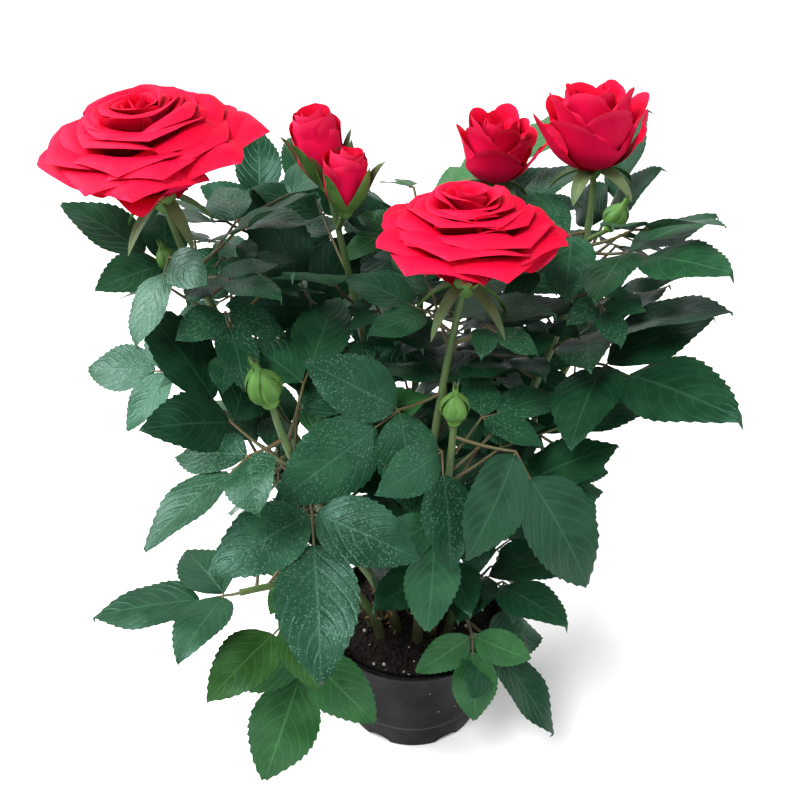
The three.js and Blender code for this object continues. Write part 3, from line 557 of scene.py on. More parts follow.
# %% Helpers for geometry trees
class NodeTree(Nodes):
    """A node tree for geometry, with named inputs."""

    def __init__(self, name, **inputs):
        super().__init__(bpy.data.node_groups.new(name, "GeometryNodeTree"))
        face = self.tree.interface
        self.keys = {}
        for label, kind in {"Geometry": "Geometry", **inputs}.items():
            socket = face.new_socket(label, in_out="INPUT", socket_type=f"NodeSocket{kind}")
            self.keys[label] = socket.identifier
        face.new_socket("Geometry", in_out="OUTPUT", socket_type="NodeSocketGeometry")
        self.start = self.tree.nodes.new("NodeGroupInput").outputs

    def read(self, name, kind):
        """The value of a named attribute."""
        inputs = {"Name": name}
        return self.add("GeometryNodeInputNamedAttribute", inputs, "Attribute", data_type=kind)

    def scatter(self):
        """The outputs of a seeded scatter over the faces that come in."""
        inputs = {"Mesh": self.start["Geometry"], "Density": self.start["Density"]}
        inputs["Seed"] = self.start["Seed"]
        return self.add("GeometryNodeDistributePointsOnFaces", inputs, None)

    def push(self, geometry, amount):
        """The geometry with its points pushed out along their normals."""
        inputs = {0: self.add("GeometryNodeInputNormal"), "Scale": amount}
        offset = self.add("ShaderNodeVectorMath", inputs, operation="SCALE")
        return self.add("GeometryNodeSetPosition", {"Geometry": geometry, "Offset": offset})

    def strew(self, points, instance, how):
        """Real copies of an instance on points, turned and scaled as told."""
        inputs = {"Points": points, "Instance": instance, **how}
        placed = self.add("GeometryNodeInstanceOnPoints", inputs)
        return self.add("GeometryNodeRealizeInstances", {"Geometry": placed})

    def dress(self, geometry, material, selection=True):
        inputs = {"Geometry": geometry, "Selection": selection, "Material": self.start[material]}
        return self.add("GeometryNodeSetMaterial", inputs)

    def close(self, geometry):
        end = self.tree.nodes.new("NodeGroupOutput")
        self.put(end.inputs["Geometry"], geometry)

    def apply(self, made, values):
        """Run the tree on an object and keep the result as its plain mesh."""
        modifier = made.modifiers.new(self.tree.name, "NODES")
        modifier.node_group = self.tree
        for label, value in values.items():
            modifier[self.keys[label]] = value
        keep_result(made)
        return made


# %% [markdown]
# Finishes. Each surface gets its own node tree of noise, waves and soft steps, read from object
# coordinates or from the piece's own attributes, so it holds from any side. Photographed
# textures would fix the light of one picture into the part.

# %% Helpers for finishes
def tone(red, green, blue):
    return (red, green, blue, 1.0)


class Finish(Nodes):
    """A procedural material with one main shader; scales count the cells of a noise per metre."""

    def __init__(self, name, roughness, **constants):
        self.material = bpy.data.materials.new(name)
        self.material.use_nodes = True
        super().__init__(self.material.node_tree)
        self.shader = self.tree.nodes["Principled BSDF"].inputs
        for key, value in {"Roughness": roughness, **constants}.items():
            self.shader[key.replace("_", " ")].default_value = value

    def math(self, kind, *sources):
        return self.add("ShaderNodeMath", dict(enumerate(sources)), operation=kind)

    def place(self):
        return self.add("ShaderNodeTexCoord", out="Object")

    def own(self, name, out="Vector"):
        return self.add("ShaderNodeAttribute", out=out, attribute_name=name)

    def parts(self, vector):
        return self.add("ShaderNodeSeparateXYZ", {"Vector": vector}, None)

    def noise(self, scale, detail=3.0, roughness=0.55, vector=None):
        inputs = {"Vector": vector or self.place(), "Scale": scale, "Detail": detail}
        return self.add("ShaderNodeTexNoise", {**inputs, "Roughness": roughness}, "Fac")

    def dots(self, scale, *edge):
        """Spots round the middles of scattered cells."""
        inputs = {"Vector": self.place(), "Scale": scale}
        return self.band(self.add("ShaderNodeTexVoronoi", inputs, "Distance"), *edge, 1.0, 0.0)

    def band(self, value, low, high, to_low=0.0, to_high=1.0):
        """A smooth step of a value from one end to the other."""
        inputs = dict(enumerate((value, low, high, to_low, to_high)))
        return self.add("ShaderNodeMapRange", inputs, interpolation_type="SMOOTHSTEP")

    def mix(self, share, first, second):
        """A colour between two, each a socket or red, green and blue."""
        ends = [tone(*end) if isinstance(end, tuple) else end for end in (first, second)]
        return self.add("ShaderNodeMix", {0: share, 6: ends[0], 7: ends[1]}, 2, data_type="RGBA")

    def over(self, skin, mask, share, colour):
        """A colour laid over a skin by a share of a mask."""
        return self.mix(self.math("MULTIPLY", mask, share), skin, colour)

    def close(self, skin, height, strength, distance, rough=None):
        """Set the skin's colour, relief and roughness, and hand over the material."""
        relief = {"Height": height, "Strength": strength, "Distance": distance}
        self.put(self.shader["Base Color"], skin)
        self.put(self.shader["Normal"], self.add("ShaderNodeBump", relief))
        if rough:
            self.put(self.shader["Roughness"], rough)
        return self.material


# %% [markdown]
# Leaf finish. A rose leaflet has a waxy upper skin over quilted cells, a pale midrib and seven or
# so pairs of side veins that curve to the teeth. Its veins are waves over the leaflet's own
# length and width, so every leaflet carries them in the right place.

# %% Leaf finish
VEIN_PAIRS = 7
VEIN_SLANT = 0.2
VEIN_CURVE = 0.22
MIDRIB_SHARE = 0.02
LEAF_GLOSS = 0.25
LEAF_SHEEN = tone(0.5, 0.95, 0.8)
SPECK_TONE = (0.11, 0.2, 0.14)


def leaf_finish(name, base, light, roughness=0.33, speckle=0.0):
    made = Finish(name, roughness, Specular_IOR_Level=LEAF_GLOSS, Specular_Tint=LEAF_SHEEN)
    grain = made.parts(made.own("grain"))
    aside = made.math("ABSOLUTE", grain["X"])
    slant = made.math("MULTIPLY_ADD", aside, VEIN_CURVE, VEIN_SLANT)
    along = made.math("SUBTRACT", grain["Y"], made.math("MULTIPLY", aside, slant))
    wave = made.math("SINE", made.math("MULTIPLY", along, 2 * math.pi * VEIN_PAIRS))
    rib = made.band(aside, MIDRIB_SHARE, MIDRIB_SHARE * 2.6, 1.0, 0.0)
    lines = made.math("MAXIMUM", rib, made.math("MULTIPLY", made.band(wave, 0.93, 1.0), 0.55))
    mottled = made.noise(95.0)
    skin = made.mix(made.band(mottled, 0.32, 0.7), base, light)
    darker = tuple(channel * 0.55 for channel in base)
    pale = tuple(channel * 1.9 + 0.03 for channel in light)
    skin = made.over(skin, made.own("shade", "Fac"), 0.6, darker)
    skin = made.over(skin, lines, 0.26, pale)
    if speckle:
        where = made.band(made.noise(60.0, 2.0), 0.34, 0.52)
        specks = made.math("MULTIPLY", made.dots(900.0, 0.16, 0.36), where)
        skin = made.over(skin, specks, speckle, SPECK_TONE)
    groove = made.math("MAXIMUM", rib, made.band(wave, 0.35, 1.0))
    relief = made.math("MULTIPLY_ADD", groove, -0.7, made.noise(380.0))
    worn = made.band(mottled, 0.3, 0.75, roughness - 0.05, roughness + 0.12)
    return made.close(skin, relief, 0.3, 0.0005, worn)


LEAF_TINTS = {
    "deep": leaf_finish("leaf_deep", (0.007, 0.036, 0.015), (0.012, 0.056, 0.022)),
    "middle": leaf_finish("leaf_middle", (0.011, 0.053, 0.021), (0.018, 0.082, 0.031)),
    "olive": leaf_finish("leaf_olive", (0.018, 0.06, 0.012), (0.03, 0.09, 0.018), 0.42),
    "young": leaf_finish("leaf_young", (0.016, 0.07, 0.018), (0.03, 0.115, 0.03), 0.34),
    "speckled": leaf_finish(
        "leaf_speckled", (0.009, 0.044, 0.019), (0.015, 0.066, 0.028), 0.36, 0.55,
    ),
}
LEAF_UNDER = leaf_finish("leaf_under", (0.022, 0.065, 0.03), (0.036, 0.09, 0.042), 0.6)
print(len(LEAF_TINTS), "leaf tints")

# %% [markdown]
# Leaflets. Each is a thin closed plate cut to its own outline, with forward-pointing teeth, a
# fold along the midrib and a soft arch. Three variants differ in how they wave and droop. The
# upper and the lower sheet share the rim, so the plate is closed and the underside can take its
# own paler finish.

# %% Sizes of a leaflet
TEETH = 13
GAP_SHARE = 0.12
WAVES = 11
TOOTH_DEPTH = 0.026
TOOTH_SHIFT = 0.014
PEAK_SHARE = 0.72
PLATE_THICKNESS = 0.012
UPPER_COLUMNS = (-1, -0.5, 0, 0.5, 1)
LOWER_COLUMNS = (-1, 0, 1)
# Each variant of the leaflet: how high it waves, how far it droops, and where its waves begin.
VARIANTS = ((0.012, 0.02, 0.3), (0.02, 0.035, 1.7), (0.016, 0.055, 4.1))
print(len(VARIANTS), "variants with", TEETH, "teeth a side")

# %% One leaflet
def leaflet_mesh(name, wave, droop, phase):
    """A leaflet of unit length: an upper and a lower sheet that meet at the toothed rim."""
    rows = []
    for tooth in range(TEETH):
        rows.append(((tooth + GAP_SHARE) / TEETH, -TOOTH_DEPTH, 0))
        rows.append(((tooth + PEAK_SHARE) / TEETH, TOOTH_DEPTH, TOOTH_SHIFT))
    points, grain = [(0, 0, 0), (0, 1.0, -droop)], [(0, 0, 0), (0, 1, 0)]
    faces, under, rims = [], [], []
    for columns, side in ((UPPER_COLUMNS, 0.5), (LOWER_COLUMNS, -0.5)):
        sheet = []
        for number, (share, depth, shift) in enumerate(rows):
            reach = float(half_width(share)) * LEAFLET_WIDTH / 2
            line = []
            for aside in columns:
                is_rim = abs(aside) == 1
                if is_rim and side < 0:
                    line.append(rims[number][aside > 0])
                    continue
                across = aside * reach * (1 + depth * is_rim)
                lift = arch_height(share, 1) + abs(across) * LEAFLET_FOLD + droop * share**3
                lift -= droop * aside**2 * math.sin(math.pi * share)
                lift += wave * abs(aside) * math.sin(WAVES * share + phase + 2 * (aside > 0))
                line.append(len(points))
                thickness = 0 if is_rim else side * PLATE_THICKNESS
                points.append((across, share + shift * is_rim, lift + thickness))
                grain.append((aside, share, 0))
            sheet.append(line)
            rims.append((line[0], line[-1]))
        turned_faces = []
        for first, second in zip(sheet, sheet[1:]):
            for k in range(len(columns) - 1):
                turned_faces.append((first[k], first[k + 1], second[k + 1], second[k]))
        for k in range(len(columns) - 1):
            turned_faces.append((0, sheet[0][k + 1], sheet[0][k]))
            turned_faces.append((sheet[-1][k], sheet[-1][k + 1], 1))
        faces += turned_faces if side > 0 else [face[::-1] for face in turned_faces]
        under += [side < 0] * len(turned_faces)
    mesh = bpy.data.meshes.new(name)
    mesh.from_pydata(points, [], faces)
    put_attribute(mesh, "grain", "FLOAT_VECTOR", "POINT", grain)
    put_attribute(mesh, "under", "BOOLEAN", "FACE", under)
    mesh.update()
    return mesh


# %% The kinds of leaflet
leaflet_kinds = bpy.data.collections.new("leaflet_kinds")
for number, (wave, droop, phase) in enumerate(VARIANTS):
    kind_name = f"leaflet_kind_{number}"
    kind = bpy.data.objects.new(kind_name, leaflet_mesh(kind_name, wave, droop, phase))
    shade_smooth(kind.data)
    leaflet_kinds.objects.link(kind)
    print(kind_name, len(kind.data.polygons), "faces")

# %% [markdown]
# Foliage. The tree puts a leaflet on every point that the growth rule left, turned and scaled by
# the point's attributes. Each spray of leaves takes one tint by chance: olive, young or deep
# where it hangs low, often young at a shoot's tip, often speckled high up, else middle or deep.

# %% Foliage tree
foliage_tree = NodeTree("foliage", Leaflets="Collection", Upper="Material", Under="Material")
kinds = foliage_tree.add("GeometryNodeCollectionInfo", {
    "Collection": foliage_tree.start["Leaflets"], "Separate Children": True,
    "Reset Children": True,
})
turns = foliage_tree.add("FunctionNodeEulerToRotation", {
    "Euler": foliage_tree.read("turn", "FLOAT_VECTOR"),
})
blades = foliage_tree.strew(foliage_tree.start["Geometry"], kinds, {
    "Pick Instance": True, "Instance Index": foliage_tree.read("kind", "INT"),
    "Rotation": turns, "Scale": foliage_tree.read("size", "FLOAT"),
})
blades = foliage_tree.dress(blades, "Upper")
foliage_tree.close(foliage_tree.dress(blades, "Under", foliage_tree.read("under", "BOOLEAN")))
print("foliage tree of", len(foliage_tree.tree.nodes), "nodes")

# %% Foliage
TINT_SEED = 7
YOUNG_SHARE = 0.9
OLIVE_HEIGHT = 105
SPECKLED_HEIGHT = 165
LOW_OLIVE, LOW_YOUNG = 0.3, 0.6
TIP_YOUNG = 0.4
HIGH_SPECKLED = 0.55
REST_MIDDLE = 0.7
tint_dice = Dice(TINT_SEED)


def pick_tint(leaf):
    """The tint of a spray, by where it grows and by the dice."""
    chance = tint_dice.roll()
    height = leaf["joint"][2]
    if height < OLIVE_HEIGHT:
        return "olive" if chance < LOW_OLIVE else "young" if chance < LOW_YOUNG else "deep"
    if leaf["at"] > YOUNG_SHARE and chance < TIP_YOUNG:
        return "young"
    if height > SPECKLED_HEIGHT and chance < HIGH_SPECKLED:
        return "speckled"
    return "middle" if chance < REST_MIDDLE else "deep"


sprays = {tint: [] for tint in LEAF_TINTS}
for leaf in leaves:
    sprays[pick_tint(leaf)].append(leaf)
LEAF_NODES = [f"leaves_{name}" for name in SHOOTS]
for tint, group in sprays.items():
    leaflets = [leaflet for leaf in group for leaflet in leaf["leaflets"]]
    foliage = mesh_object(f"foliage_{tint}", [leaflet["foot"] for leaflet in leaflets], [])
    turns = [
        Matrix((leaflet["across"], leaflet["way"], leaflet["upper"])).transposed().to_euler()
        for leaflet in leaflets
    ]
    put_attribute(foliage.data, "turn", "FLOAT_VECTOR", "POINT", turns)
    sizes = [leaflet["length"] * MM for leaflet in leaflets]
    shades = [tint_dice.roll() for _ in leaflets]
    picks = [int(tint_dice.roll() * len(VARIANTS)) for _ in leaflets]
    put_attribute(foliage.data, "size", "FLOAT", "POINT", sizes)
    put_attribute(foliage.data, "shade", "FLOAT", "POINT", shades)
    put_attribute(foliage.data, "kind", "INT", "POINT", picks)
    foliage_tree.apply(foliage, {
        "Leaflets": leaflet_kinds, "Upper": LEAF_TINTS[tint], "Under": LEAF_UNDER,
    })
    keep(foliage, "foliage", *LEAF_NODES)

# %% [markdown]
# Canes, stems and stalks. All are round limbs along a line, thicker at the foot. The tree turns
# each line into a curve, sweeps a circle whose size follows the girth attribute, and ripples
# the skin a little. The bare canes take a browner and rougher skin, the stems above them a fresh
# green one, the leaf stalks a red-brown one.

# %% Limb finishes
LICHEN_TONE = (0.17, 0.13, 0.07)


def limb_finish(name, base, other, roughness, streak):
    made = Finish(name, roughness, Specular_IOR_Level=0.4)
    inputs = {"Vector": made.place(), "Scale": (1.0, 1.0, 0.18)}
    streaks = made.noise(streak, 4.0, 0.6, made.add("ShaderNodeMapping", inputs))
    skin = made.mix(made.band(streaks, 0.35, 0.68), base, other)
    skin = made.over(skin, made.band(made.noise(1200.0, 1.0), 0.68, 0.76), 0.4, LICHEN_TONE)
    return made.close(skin, streaks, 0.5, 0.0005)


CANE_FINISH = limb_finish("cane_bark", (0.05, 0.08, 0.024), (0.1, 0.08, 0.038), 0.62, 420.0)
STEM_FINISH = limb_finish("stem_skin", (0.045, 0.095, 0.022), (0.075, 0.12, 0.034), 0.48, 260.0)
STALK_FINISH = limb_finish("stalk_skin", (0.085, 0.05, 0.02), (0.05, 0.075, 0.022), 0.5, 520.0)
PRICKLE_FINISH = limb_finish("prickle_skin", (0.3, 0.12, 0.06), (0.35, 0.2, 0.1), 0.5, 300.0)
print("cane, stem, stalk and prickle finishes")

# %% Limb tree
limb_tree = NodeTree("limb", Sides="Int", Relief="Float", Skin="Material")
lines = limb_tree.add("GeometryNodeMeshToCurve", {"Mesh": limb_tree.start["Geometry"]})
circle = limb_tree.add("GeometryNodeCurvePrimitiveCircle", {
    "Resolution": limb_tree.start["Sides"], "Radius": 1.0,
})
swept = limb_tree.add("GeometryNodeCurveToMesh", {
    "Curve": lines, "Profile Curve": circle, "Scale": limb_tree.read("girth", "FLOAT"),
    "Fill Caps": True,
})
ripple = limb_tree.add("ShaderNodeTexNoise", {"Scale": 260.0, "Detail": 2.0}, "Fac")
height = limb_tree.add("ShaderNodeMath", {0: ripple, 1: 0.5}, operation="SUBTRACT")
height = limb_tree.add("ShaderNodeMath", {
    0: height, 1: limb_tree.start["Relief"],
}, operation="MULTIPLY")
smooth = limb_tree.add("GeometryNodeSetShadeSmooth", {"Geometry": limb_tree.push(swept, height)})
limb_tree.close(limb_tree.dress(smooth, "Skin"))
print("limb tree of", len(limb_tree.tree.nodes), "nodes")


def grow_limbs(name, limbs, sides, relief, skin):
    """Limbs as one piece; each is a list of points and a list of girths."""
    points, edges, girths = [], [], []
    for line, sizes in limbs:
        first = len(points)
        points += list(line)
        girths += list(sizes)
        edges += [(first + i, first + i + 1) for i in range(len(line) - 1)]
    made = mesh_object(name, points, [], edges)
    put_attribute(made.data, "girth", "FLOAT", "POINT", [girth * MM for girth in girths])
    return limb_tree.apply(made, {"Sides": sides, "Relief": relief * MM, "Skin": skin})


# %% Canes and stems
CANE_FOOT_RADIUS = 2.7
CANE_TIP_RADIUS = 2.0
NECK_RADIUS = 1.5
NECK_TIP_RADIUS = 1.25
CANE_STEP = 0.012
OVERLAP = 0.01
FOOT_SINK = 1.5


def shoot_line(name, start, end, first_radius, last_radius, step=CANE_STEP):
    count = max(4, round((end - start) / step))
    shares = [start + (end - start) * i / count for i in range(count + 1)]
    radii = np.linspace(first_radius, last_radius, count + 1)
    return [route_point(name, share) for share in shares], list(radii)


cane_lines, stem_lines, neck_lines = [], [], []
for name, (_, _, bare, neck) in SHOOTS.items():
    line, radii = shoot_line(name, 0, bare + OVERLAP, CANE_FOOT_RADIUS, CANE_TIP_RADIUS)
    line[0] = line[0] - (0, 0, FOOT_SINK)
    cane_lines.append((line, radii))
    stem_lines.append(shoot_line(name, bare, neck, CANE_TIP_RADIUS, NECK_RADIUS))
    if neck < 1:
        neck_lines.append(shoot_line(name, neck - OVERLAP, 1, NECK_RADIUS, NECK_TIP_RADIUS))
canes = grow_limbs("canes", cane_lines, sides=14, relief=0.5, skin=CANE_FINISH)
stems = grow_limbs("stems", stem_lines, sides=12, relief=0.25, skin=STEM_FINISH)
CANE_NODES = [f"cane_{name}" for name in SHOOTS]
keep(canes, "cane", *CANE_NODES)
keep(stems, "foliage", *LEAF_NODES)

# %% Leaf stalks
STALK_GIRTHS = (0.85, 0.6)
SPINE_TIP = 0.45
SIDE_STALK = 0.42
STALK_STEPS = 7
STALK_SAG = 0.16
BLADE_ENTRY = 0.05
BLADE_LIFT = 0.3
END_GIRTH = 0.8
stalk_lines = []
for leaf in leaves:
    shares = np.linspace(0, 1, STALK_STEPS)[:, None]
    span = leaf["joint"] - leaf["start"]
    fall = STALK_SAG * np.linalg.norm(span) * shares * (1 - shares)
    line = list(leaf["start"] + span * shares - fall * (0, 0, 1))
    end = leaf["leaflets"][0]
    inner = end["foot"] + end["way"] * end["length"] * BLADE_ENTRY + end["upper"] * BLADE_LIFT
    girths = [*np.linspace(*STALK_GIRTHS, STALK_STEPS), SPINE_TIP, SPINE_TIP * END_GIRTH]
    stalk_lines.append(([*line, leaf["end_foot"], inner], girths))
    for leaflet in leaf["leaflets"][1:]:
        inner = leaflet["foot"] + leaflet["way"] * leaflet["length"] * BLADE_ENTRY
        girths = [SIDE_STALK, SIDE_STALK, SIDE_STALK * END_GIRTH]
        stalk_lines.append(([leaflet["joint"], leaflet["foot"], inner], girths))
stalks = grow_limbs("leaf_stalks", stalk_lines, sides=7, relief=0.05, skin=STALK_FINISH)
keep(stalks, "foliage", *LEAF_NODES)

# %% [markdown]
# Prickles. Rose canes carry small hooked prickles, scattered without order. A seeded scatter
# over the bark and a small cone on each point is enough at this size.

# %% Prickles
PRICKLE_LENGTH = 2.4
PRICKLE_FOOT = 0.7
PRICKLE_TIP = 0.05
PRICKLE_DENSITY = 9000.0
PRICKLE_SEED = 11
prickle_tree = NodeTree("prickles", Density="Float", Seed="Int", Skin="Material")
spots = prickle_tree.scatter()
cone = prickle_tree.add("GeometryNodeMeshCone", {
    "Vertices": 6, "Radius Top": PRICKLE_TIP * MM, "Radius Bottom": PRICKLE_FOOT * MM,
    "Depth": PRICKLE_LENGTH * MM,
})
cones = prickle_tree.strew(spots["Points"], cone, {"Rotation": spots["Rotation"]})
prickle_tree.close(prickle_tree.dress(cones, "Skin"))
prickles = prickle_tree.apply(link_object("prickles", canes.data.copy()), {
    "Density": PRICKLE_DENSITY, "Seed": PRICKLE_SEED, "Skin": PRICKLE_FINISH,
})
keep(prickles, "cane", *CANE_NODES)

# %% [markdown]
# Petals. A petal is a cupped sheet: its midline climbs and rolls outwards, its width swells and
# narrows again, and the sheet wraps round the flower. The outer petals lie open, the inner ones
# stand ever closer round the heart, where a rose stays furled. Each sheet is a closed thin
# plate, whose back takes a darker, duller finish than its velvet face.

# %% Petal finish
PETAL_SHEEN = {"Sheen_Weight": 0.1, "Sheen_Tint": tone(0.9, 0.03, 0.09), "Sheen_Roughness": 0.4}
PETAL_GLOSS = {"Specular_IOR_Level": 0.08, "Specular_Tint": tone(1.0, 0.4, 0.45)}


def petal_finish(name, deep, bright, rim, roughness):
    made = Finish(name, roughness, **PETAL_SHEEN, **PETAL_GLOSS)
    grain = made.parts(made.own("grain"))
    cloud = made.noise(70.0)
    # Darker towards the petal's foot: painted shade where the petal sits deep in the flower.
    skin = made.mix(made.band(grain["Y"], 0.1, 0.75), deep, bright)
    skin = made.over(skin, made.band(cloud, 0.42, 0.7), 0.35, deep)
    # A lighter rim: a painted highlight where the petal's rolled rim catches the light.
    skin = made.over(skin, made.band(grain["Z"], 0.82, 1.0), 0.5, rim)
    spread = {"X": made.math("MULTIPLY", grain["X"], 16.0)}
    spread["Y"] = made.math("MULTIPLY", grain["Y"], 1.6)
    veins = made.noise(2.0, 4.0, 0.6, made.add("ShaderNodeCombineXYZ", spread))
    worn = made.band(cloud, 0.3, 0.7, roughness, roughness + 0.12)
    return made.close(skin, veins, 0.35, 0.0006, worn)


# In each petal finish below, the first colour is painted shade towards the petal's foot, and it
# also tints random blotches.
# The third colour of each petal finish is a painted highlight on the rolled rim.
PETAL_FACE = petal_finish(
    "petal_face", (0.36, 0.0, 0.01), (0.7, 0.002, 0.03), (0.76, 0.014, 0.055), 0.6,
)
PETAL_BACK = petal_finish(
    "petal_back", (0.3, 0.0008, 0.02), (0.54, 0.003, 0.045), (0.7, 0.03, 0.09), 0.65,
)
SEPAL_FINISH = leaf_finish("sepal_skin", (0.06, 0.09, 0.032), (0.1, 0.13, 0.055), 0.55)
CALYX_FINISH = leaf_finish("calyx_skin", (0.045, 0.11, 0.02), (0.08, 0.17, 0.036), 0.5)
BUD_FINISH = leaf_finish("bud_skin", (0.05, 0.125, 0.014), (0.085, 0.18, 0.028), 0.42)
print("petal, sepal, calyx and bud finishes")

# %% Sizes of a petal
PETAL_COLUMNS = 13
PETAL_ROWS = 15
PETAL_THICKNESS = 0.4
CLAW_SHARE = 0.5
FLARE = 1.2
CLASP_SHARE = 0.35
RUFFLE_WAVES = 2.6
SIDE_POWER = 1.8
SIDE_ONSET = 1.6
# Each tip: share that its corners fall back, power of that curve, length of its point, how much
# of the roll its sides take, and how far it narrows.
ROUND_TIP = (0.4, 2.2, 0.02, 0.62, 0.3)
POINTED_TIP = (0.36, 1.5, 0.09, 1.0, 0.0)
FURLED_TIP = (0.14, 2.6, 0.03, 0.5, 0.12)
POINT_WIDTH = 0.16
ROLL_START = 0.5
ROLL_MOST = 1.1
ROLL_MEAN = 0.75
ROLL_SWAY = 0.5
TINY = 1e-9
PETAL_SEED = 41
petal_dice = Dice(PETAL_SEED)
print(PETAL_COLUMNS * PETAL_ROWS, "points on each side of a petal")

# %% Helpers for flowers
def swing():
    """A seeded number from -1 to 1."""
    return petal_dice.roll() * 2 - 1


def axis_frame(compass, rise):
    """Three ways of a flower: to its side, to its front, and up its axis."""
    axis = direction(compass, rise)
    side = unit(np.cross((0, 1, 0), axis))
    return np.array((side, np.cross(axis, side), axis))


def face_normals(grid):
    """Unit normals on the inner face of a sheet."""
    down, right = np.gradient(grid, axis=0), np.gradient(grid, axis=1)
    normal = np.cross(down, right)
    return normal / (np.linalg.norm(normal, axis=2, keepdims=True) + TINY)


# %% One petal
def petal_grid(corners, width, wrap, roll, ruffle, tip):
    """Points of a petal that grows to +X of its flower, with columns across and rows along."""
    corners = np.asarray(corners, float)
    aside, share = np.meshgrid(np.linspace(-1, 1, PETAL_COLUMNS), np.linspace(0, 1, PETAL_ROWS))
    phase = petal_dice.roll() * 2 * math.pi
    rounding, power, point, side_roll, taper = tip
    along = share * (1 - rounding * np.abs(aside) ** power * share)
    along += point * np.exp(-(aside / POINT_WIDTH) ** 2) * share**2
    rest = 1 - along
    weights = np.stack((rest**3, 3 * along * rest**2, 3 * along**2 * rest, along**3), axis=-1)
    middle = weights @ corners
    swell = CLAW_SHARE + (1 - CLAW_SHARE) * np.sin(np.minimum(1, FLARE * share) * math.pi / 2)
    swell = swell * (1 - taper * share**5)
    bend = wrap * np.minimum(1, CLASP_SHARE + 2 * share * (1 - CLASP_SHARE))
    arc = aside * width * swell / bend
    wave = ruffle * share**2 * np.sin(RUFFLE_WAVES * aside + phase)
    grid = np.stack((
        middle[..., 0] - bend * (1 - np.cos(arc)), bend * np.sin(arc), middle[..., 1] + wave,
    ), axis=-1)
    edge = side_roll * np.abs(aside) ** SIDE_POWER * np.minimum(1, share * SIDE_ONSET)
    rim = (edge**4 + share**5) ** 0.25
    curl = np.clip((rim - ROLL_START) / (1 - ROLL_START), 0, ROLL_MOST) ** 2
    lean = roll * curl * (ROLL_MEAN + ROLL_SWAY * np.sin(phase + 2 * aside))
    grid = grid - face_normals(grid) * lean[..., None]
    return grid, np.stack((aside, share, rim), axis=-1)


def turn_grid(grid, turn):
    """The grid turned round the flower's axis."""
    cos, sin = math.cos(math.radians(turn)), math.sin(math.radians(turn))
    return grid @ np.array(((cos, sin, 0), (-sin, cos, 0), (0, 0, 1)))


# %% Sheets as thin closed plates
def plate(grid, thickness):
    """A sheet as a thin closed body: its points and its faces, face side first."""
    rows, columns = grid.shape[:2]
    shift = (face_normals(grid) * thickness / 2)[1:-1, 1:-1]
    front, back = grid.copy(), grid[1:-1, 1:-1] - shift
    front[1:-1, 1:-1] += shift
    numbers = np.arange(rows * columns).reshape(rows, columns)
    behind = numbers.copy()
    behind[1:-1, 1:-1] = np.arange(back[..., 0].size).reshape(back.shape[:2]) + rows * columns
    faces = []
    for sheet, order in ((numbers, 1), (behind, -1)):
        corners = (sheet[:-1, :-1], sheet[1:, :-1], sheet[1:, 1:], sheet[:-1, 1:])
        faces += list(np.stack(corners, axis=-1).reshape(-1, 4)[:, ::order])
    return np.concatenate((front.reshape(-1, 3), back.reshape(-1, 3))), faces


class Sheets(Gathered):
    """Plates in one piece, each with its own grain, a face finish and a back finish."""

    def __init__(self):
        super().__init__()
        self.backs, self.grain = [], []

    def add(self, grid, grain, thickness, placing, foot):
        points, faces = plate(grid, thickness)
        super().add(points @ placing + foot, faces)
        self.grain += [*grain.reshape(-1, 3), *grain[1:-1, 1:-1].reshape(-1, 3)]
        self.backs += [0] * (len(faces) // 2) + [1] * (len(faces) // 2)

    def build(self, name, *finishes):
        made = super().build(name, *finishes)
        put_attribute(made.data, "grain", "FLOAT_VECTOR", "POINT", self.grain)
        made.data.polygons.foreach_set("material_index", self.backs)
        return made


print("petals of", PETAL_ROWS, "by", PETAL_COLUMNS, "points")

# %% [markdown]
# Blooms. A rose opens from a spiral, not from rings, so its petals follow the golden turn from
# the outermost, which lies flat, to the heart, which stays furled. Key petals give the midline,
# half width, wrap and roll of the rim at a few steps inwards, and all others lie between them.
# The rims roll back. An open petal ends in a small point, which draws the curved bands of an
# open rose, a half-open one is round, and a bud's petals narrow to a furled tip.

# %% Key petals
OPEN_HALF = 43
HALF_HALF = 21
BUD_HALF = 10
# Each key: step inwards, four midline points (out, up), half width, wrap, roll, ruffle.
OPEN_KEYS = (
    (0.0, ((3, 3), (15, 14), (31, 29), (44, 25)), 24, 60, 5.2, 2.6),
    (0.2, ((3, 4), (12, 15), (26, 33), (39, 30)), 25, 46, 5.8, 2.6),
    (0.4, ((3, 5), (10, 18), (19, 37), (31, 35)), 23, 30, 5.6, 2.2),
    (0.58, ((2.5, 6), (8, 20), (13, 41), (23, 39)), 19, 20, 4.8, 1.8),
    (0.74, ((2, 6), (6, 20), (8, 42), (15, 42)), 14, 12, 3.4, 1.2),
    (0.88, ((1.5, 6), (4, 20), (5, 40), (8, 43)), 9, 6.5, 1.6, 0.6),
    (1.0, ((1, 6), (2, 20), (2.2, 37), (3, 41)), 6, 3.0, 0.6, 0.3),
)
HALF_KEYS = (
    (0.0, ((2, 1), (19, 2), (17, 18), (22, 28)), 20, 17, 3.4, 1.2),
    (0.2, ((2, 2), (18, 4), (17, 20), (20, 32)), 20, 16, 3.2, 1.2),
    (0.4, ((2, 3), (16, 6), (15, 25), (17, 37)), 18, 14, 2.4, 1.0),
    (0.6, ((2, 4), (12, 8), (12, 26), (13, 38)), 15, 11, 2.0, 0.8),
    (0.8, ((1, 4), (9, 8), (8, 25), (8.5, 37.5)), 10, 7, 1.0, 0.5),
    (1.0, ((1, 4), (3, 8), (3.4, 25), (3, 35)), 6, 3, 0.3, 0.2),
)
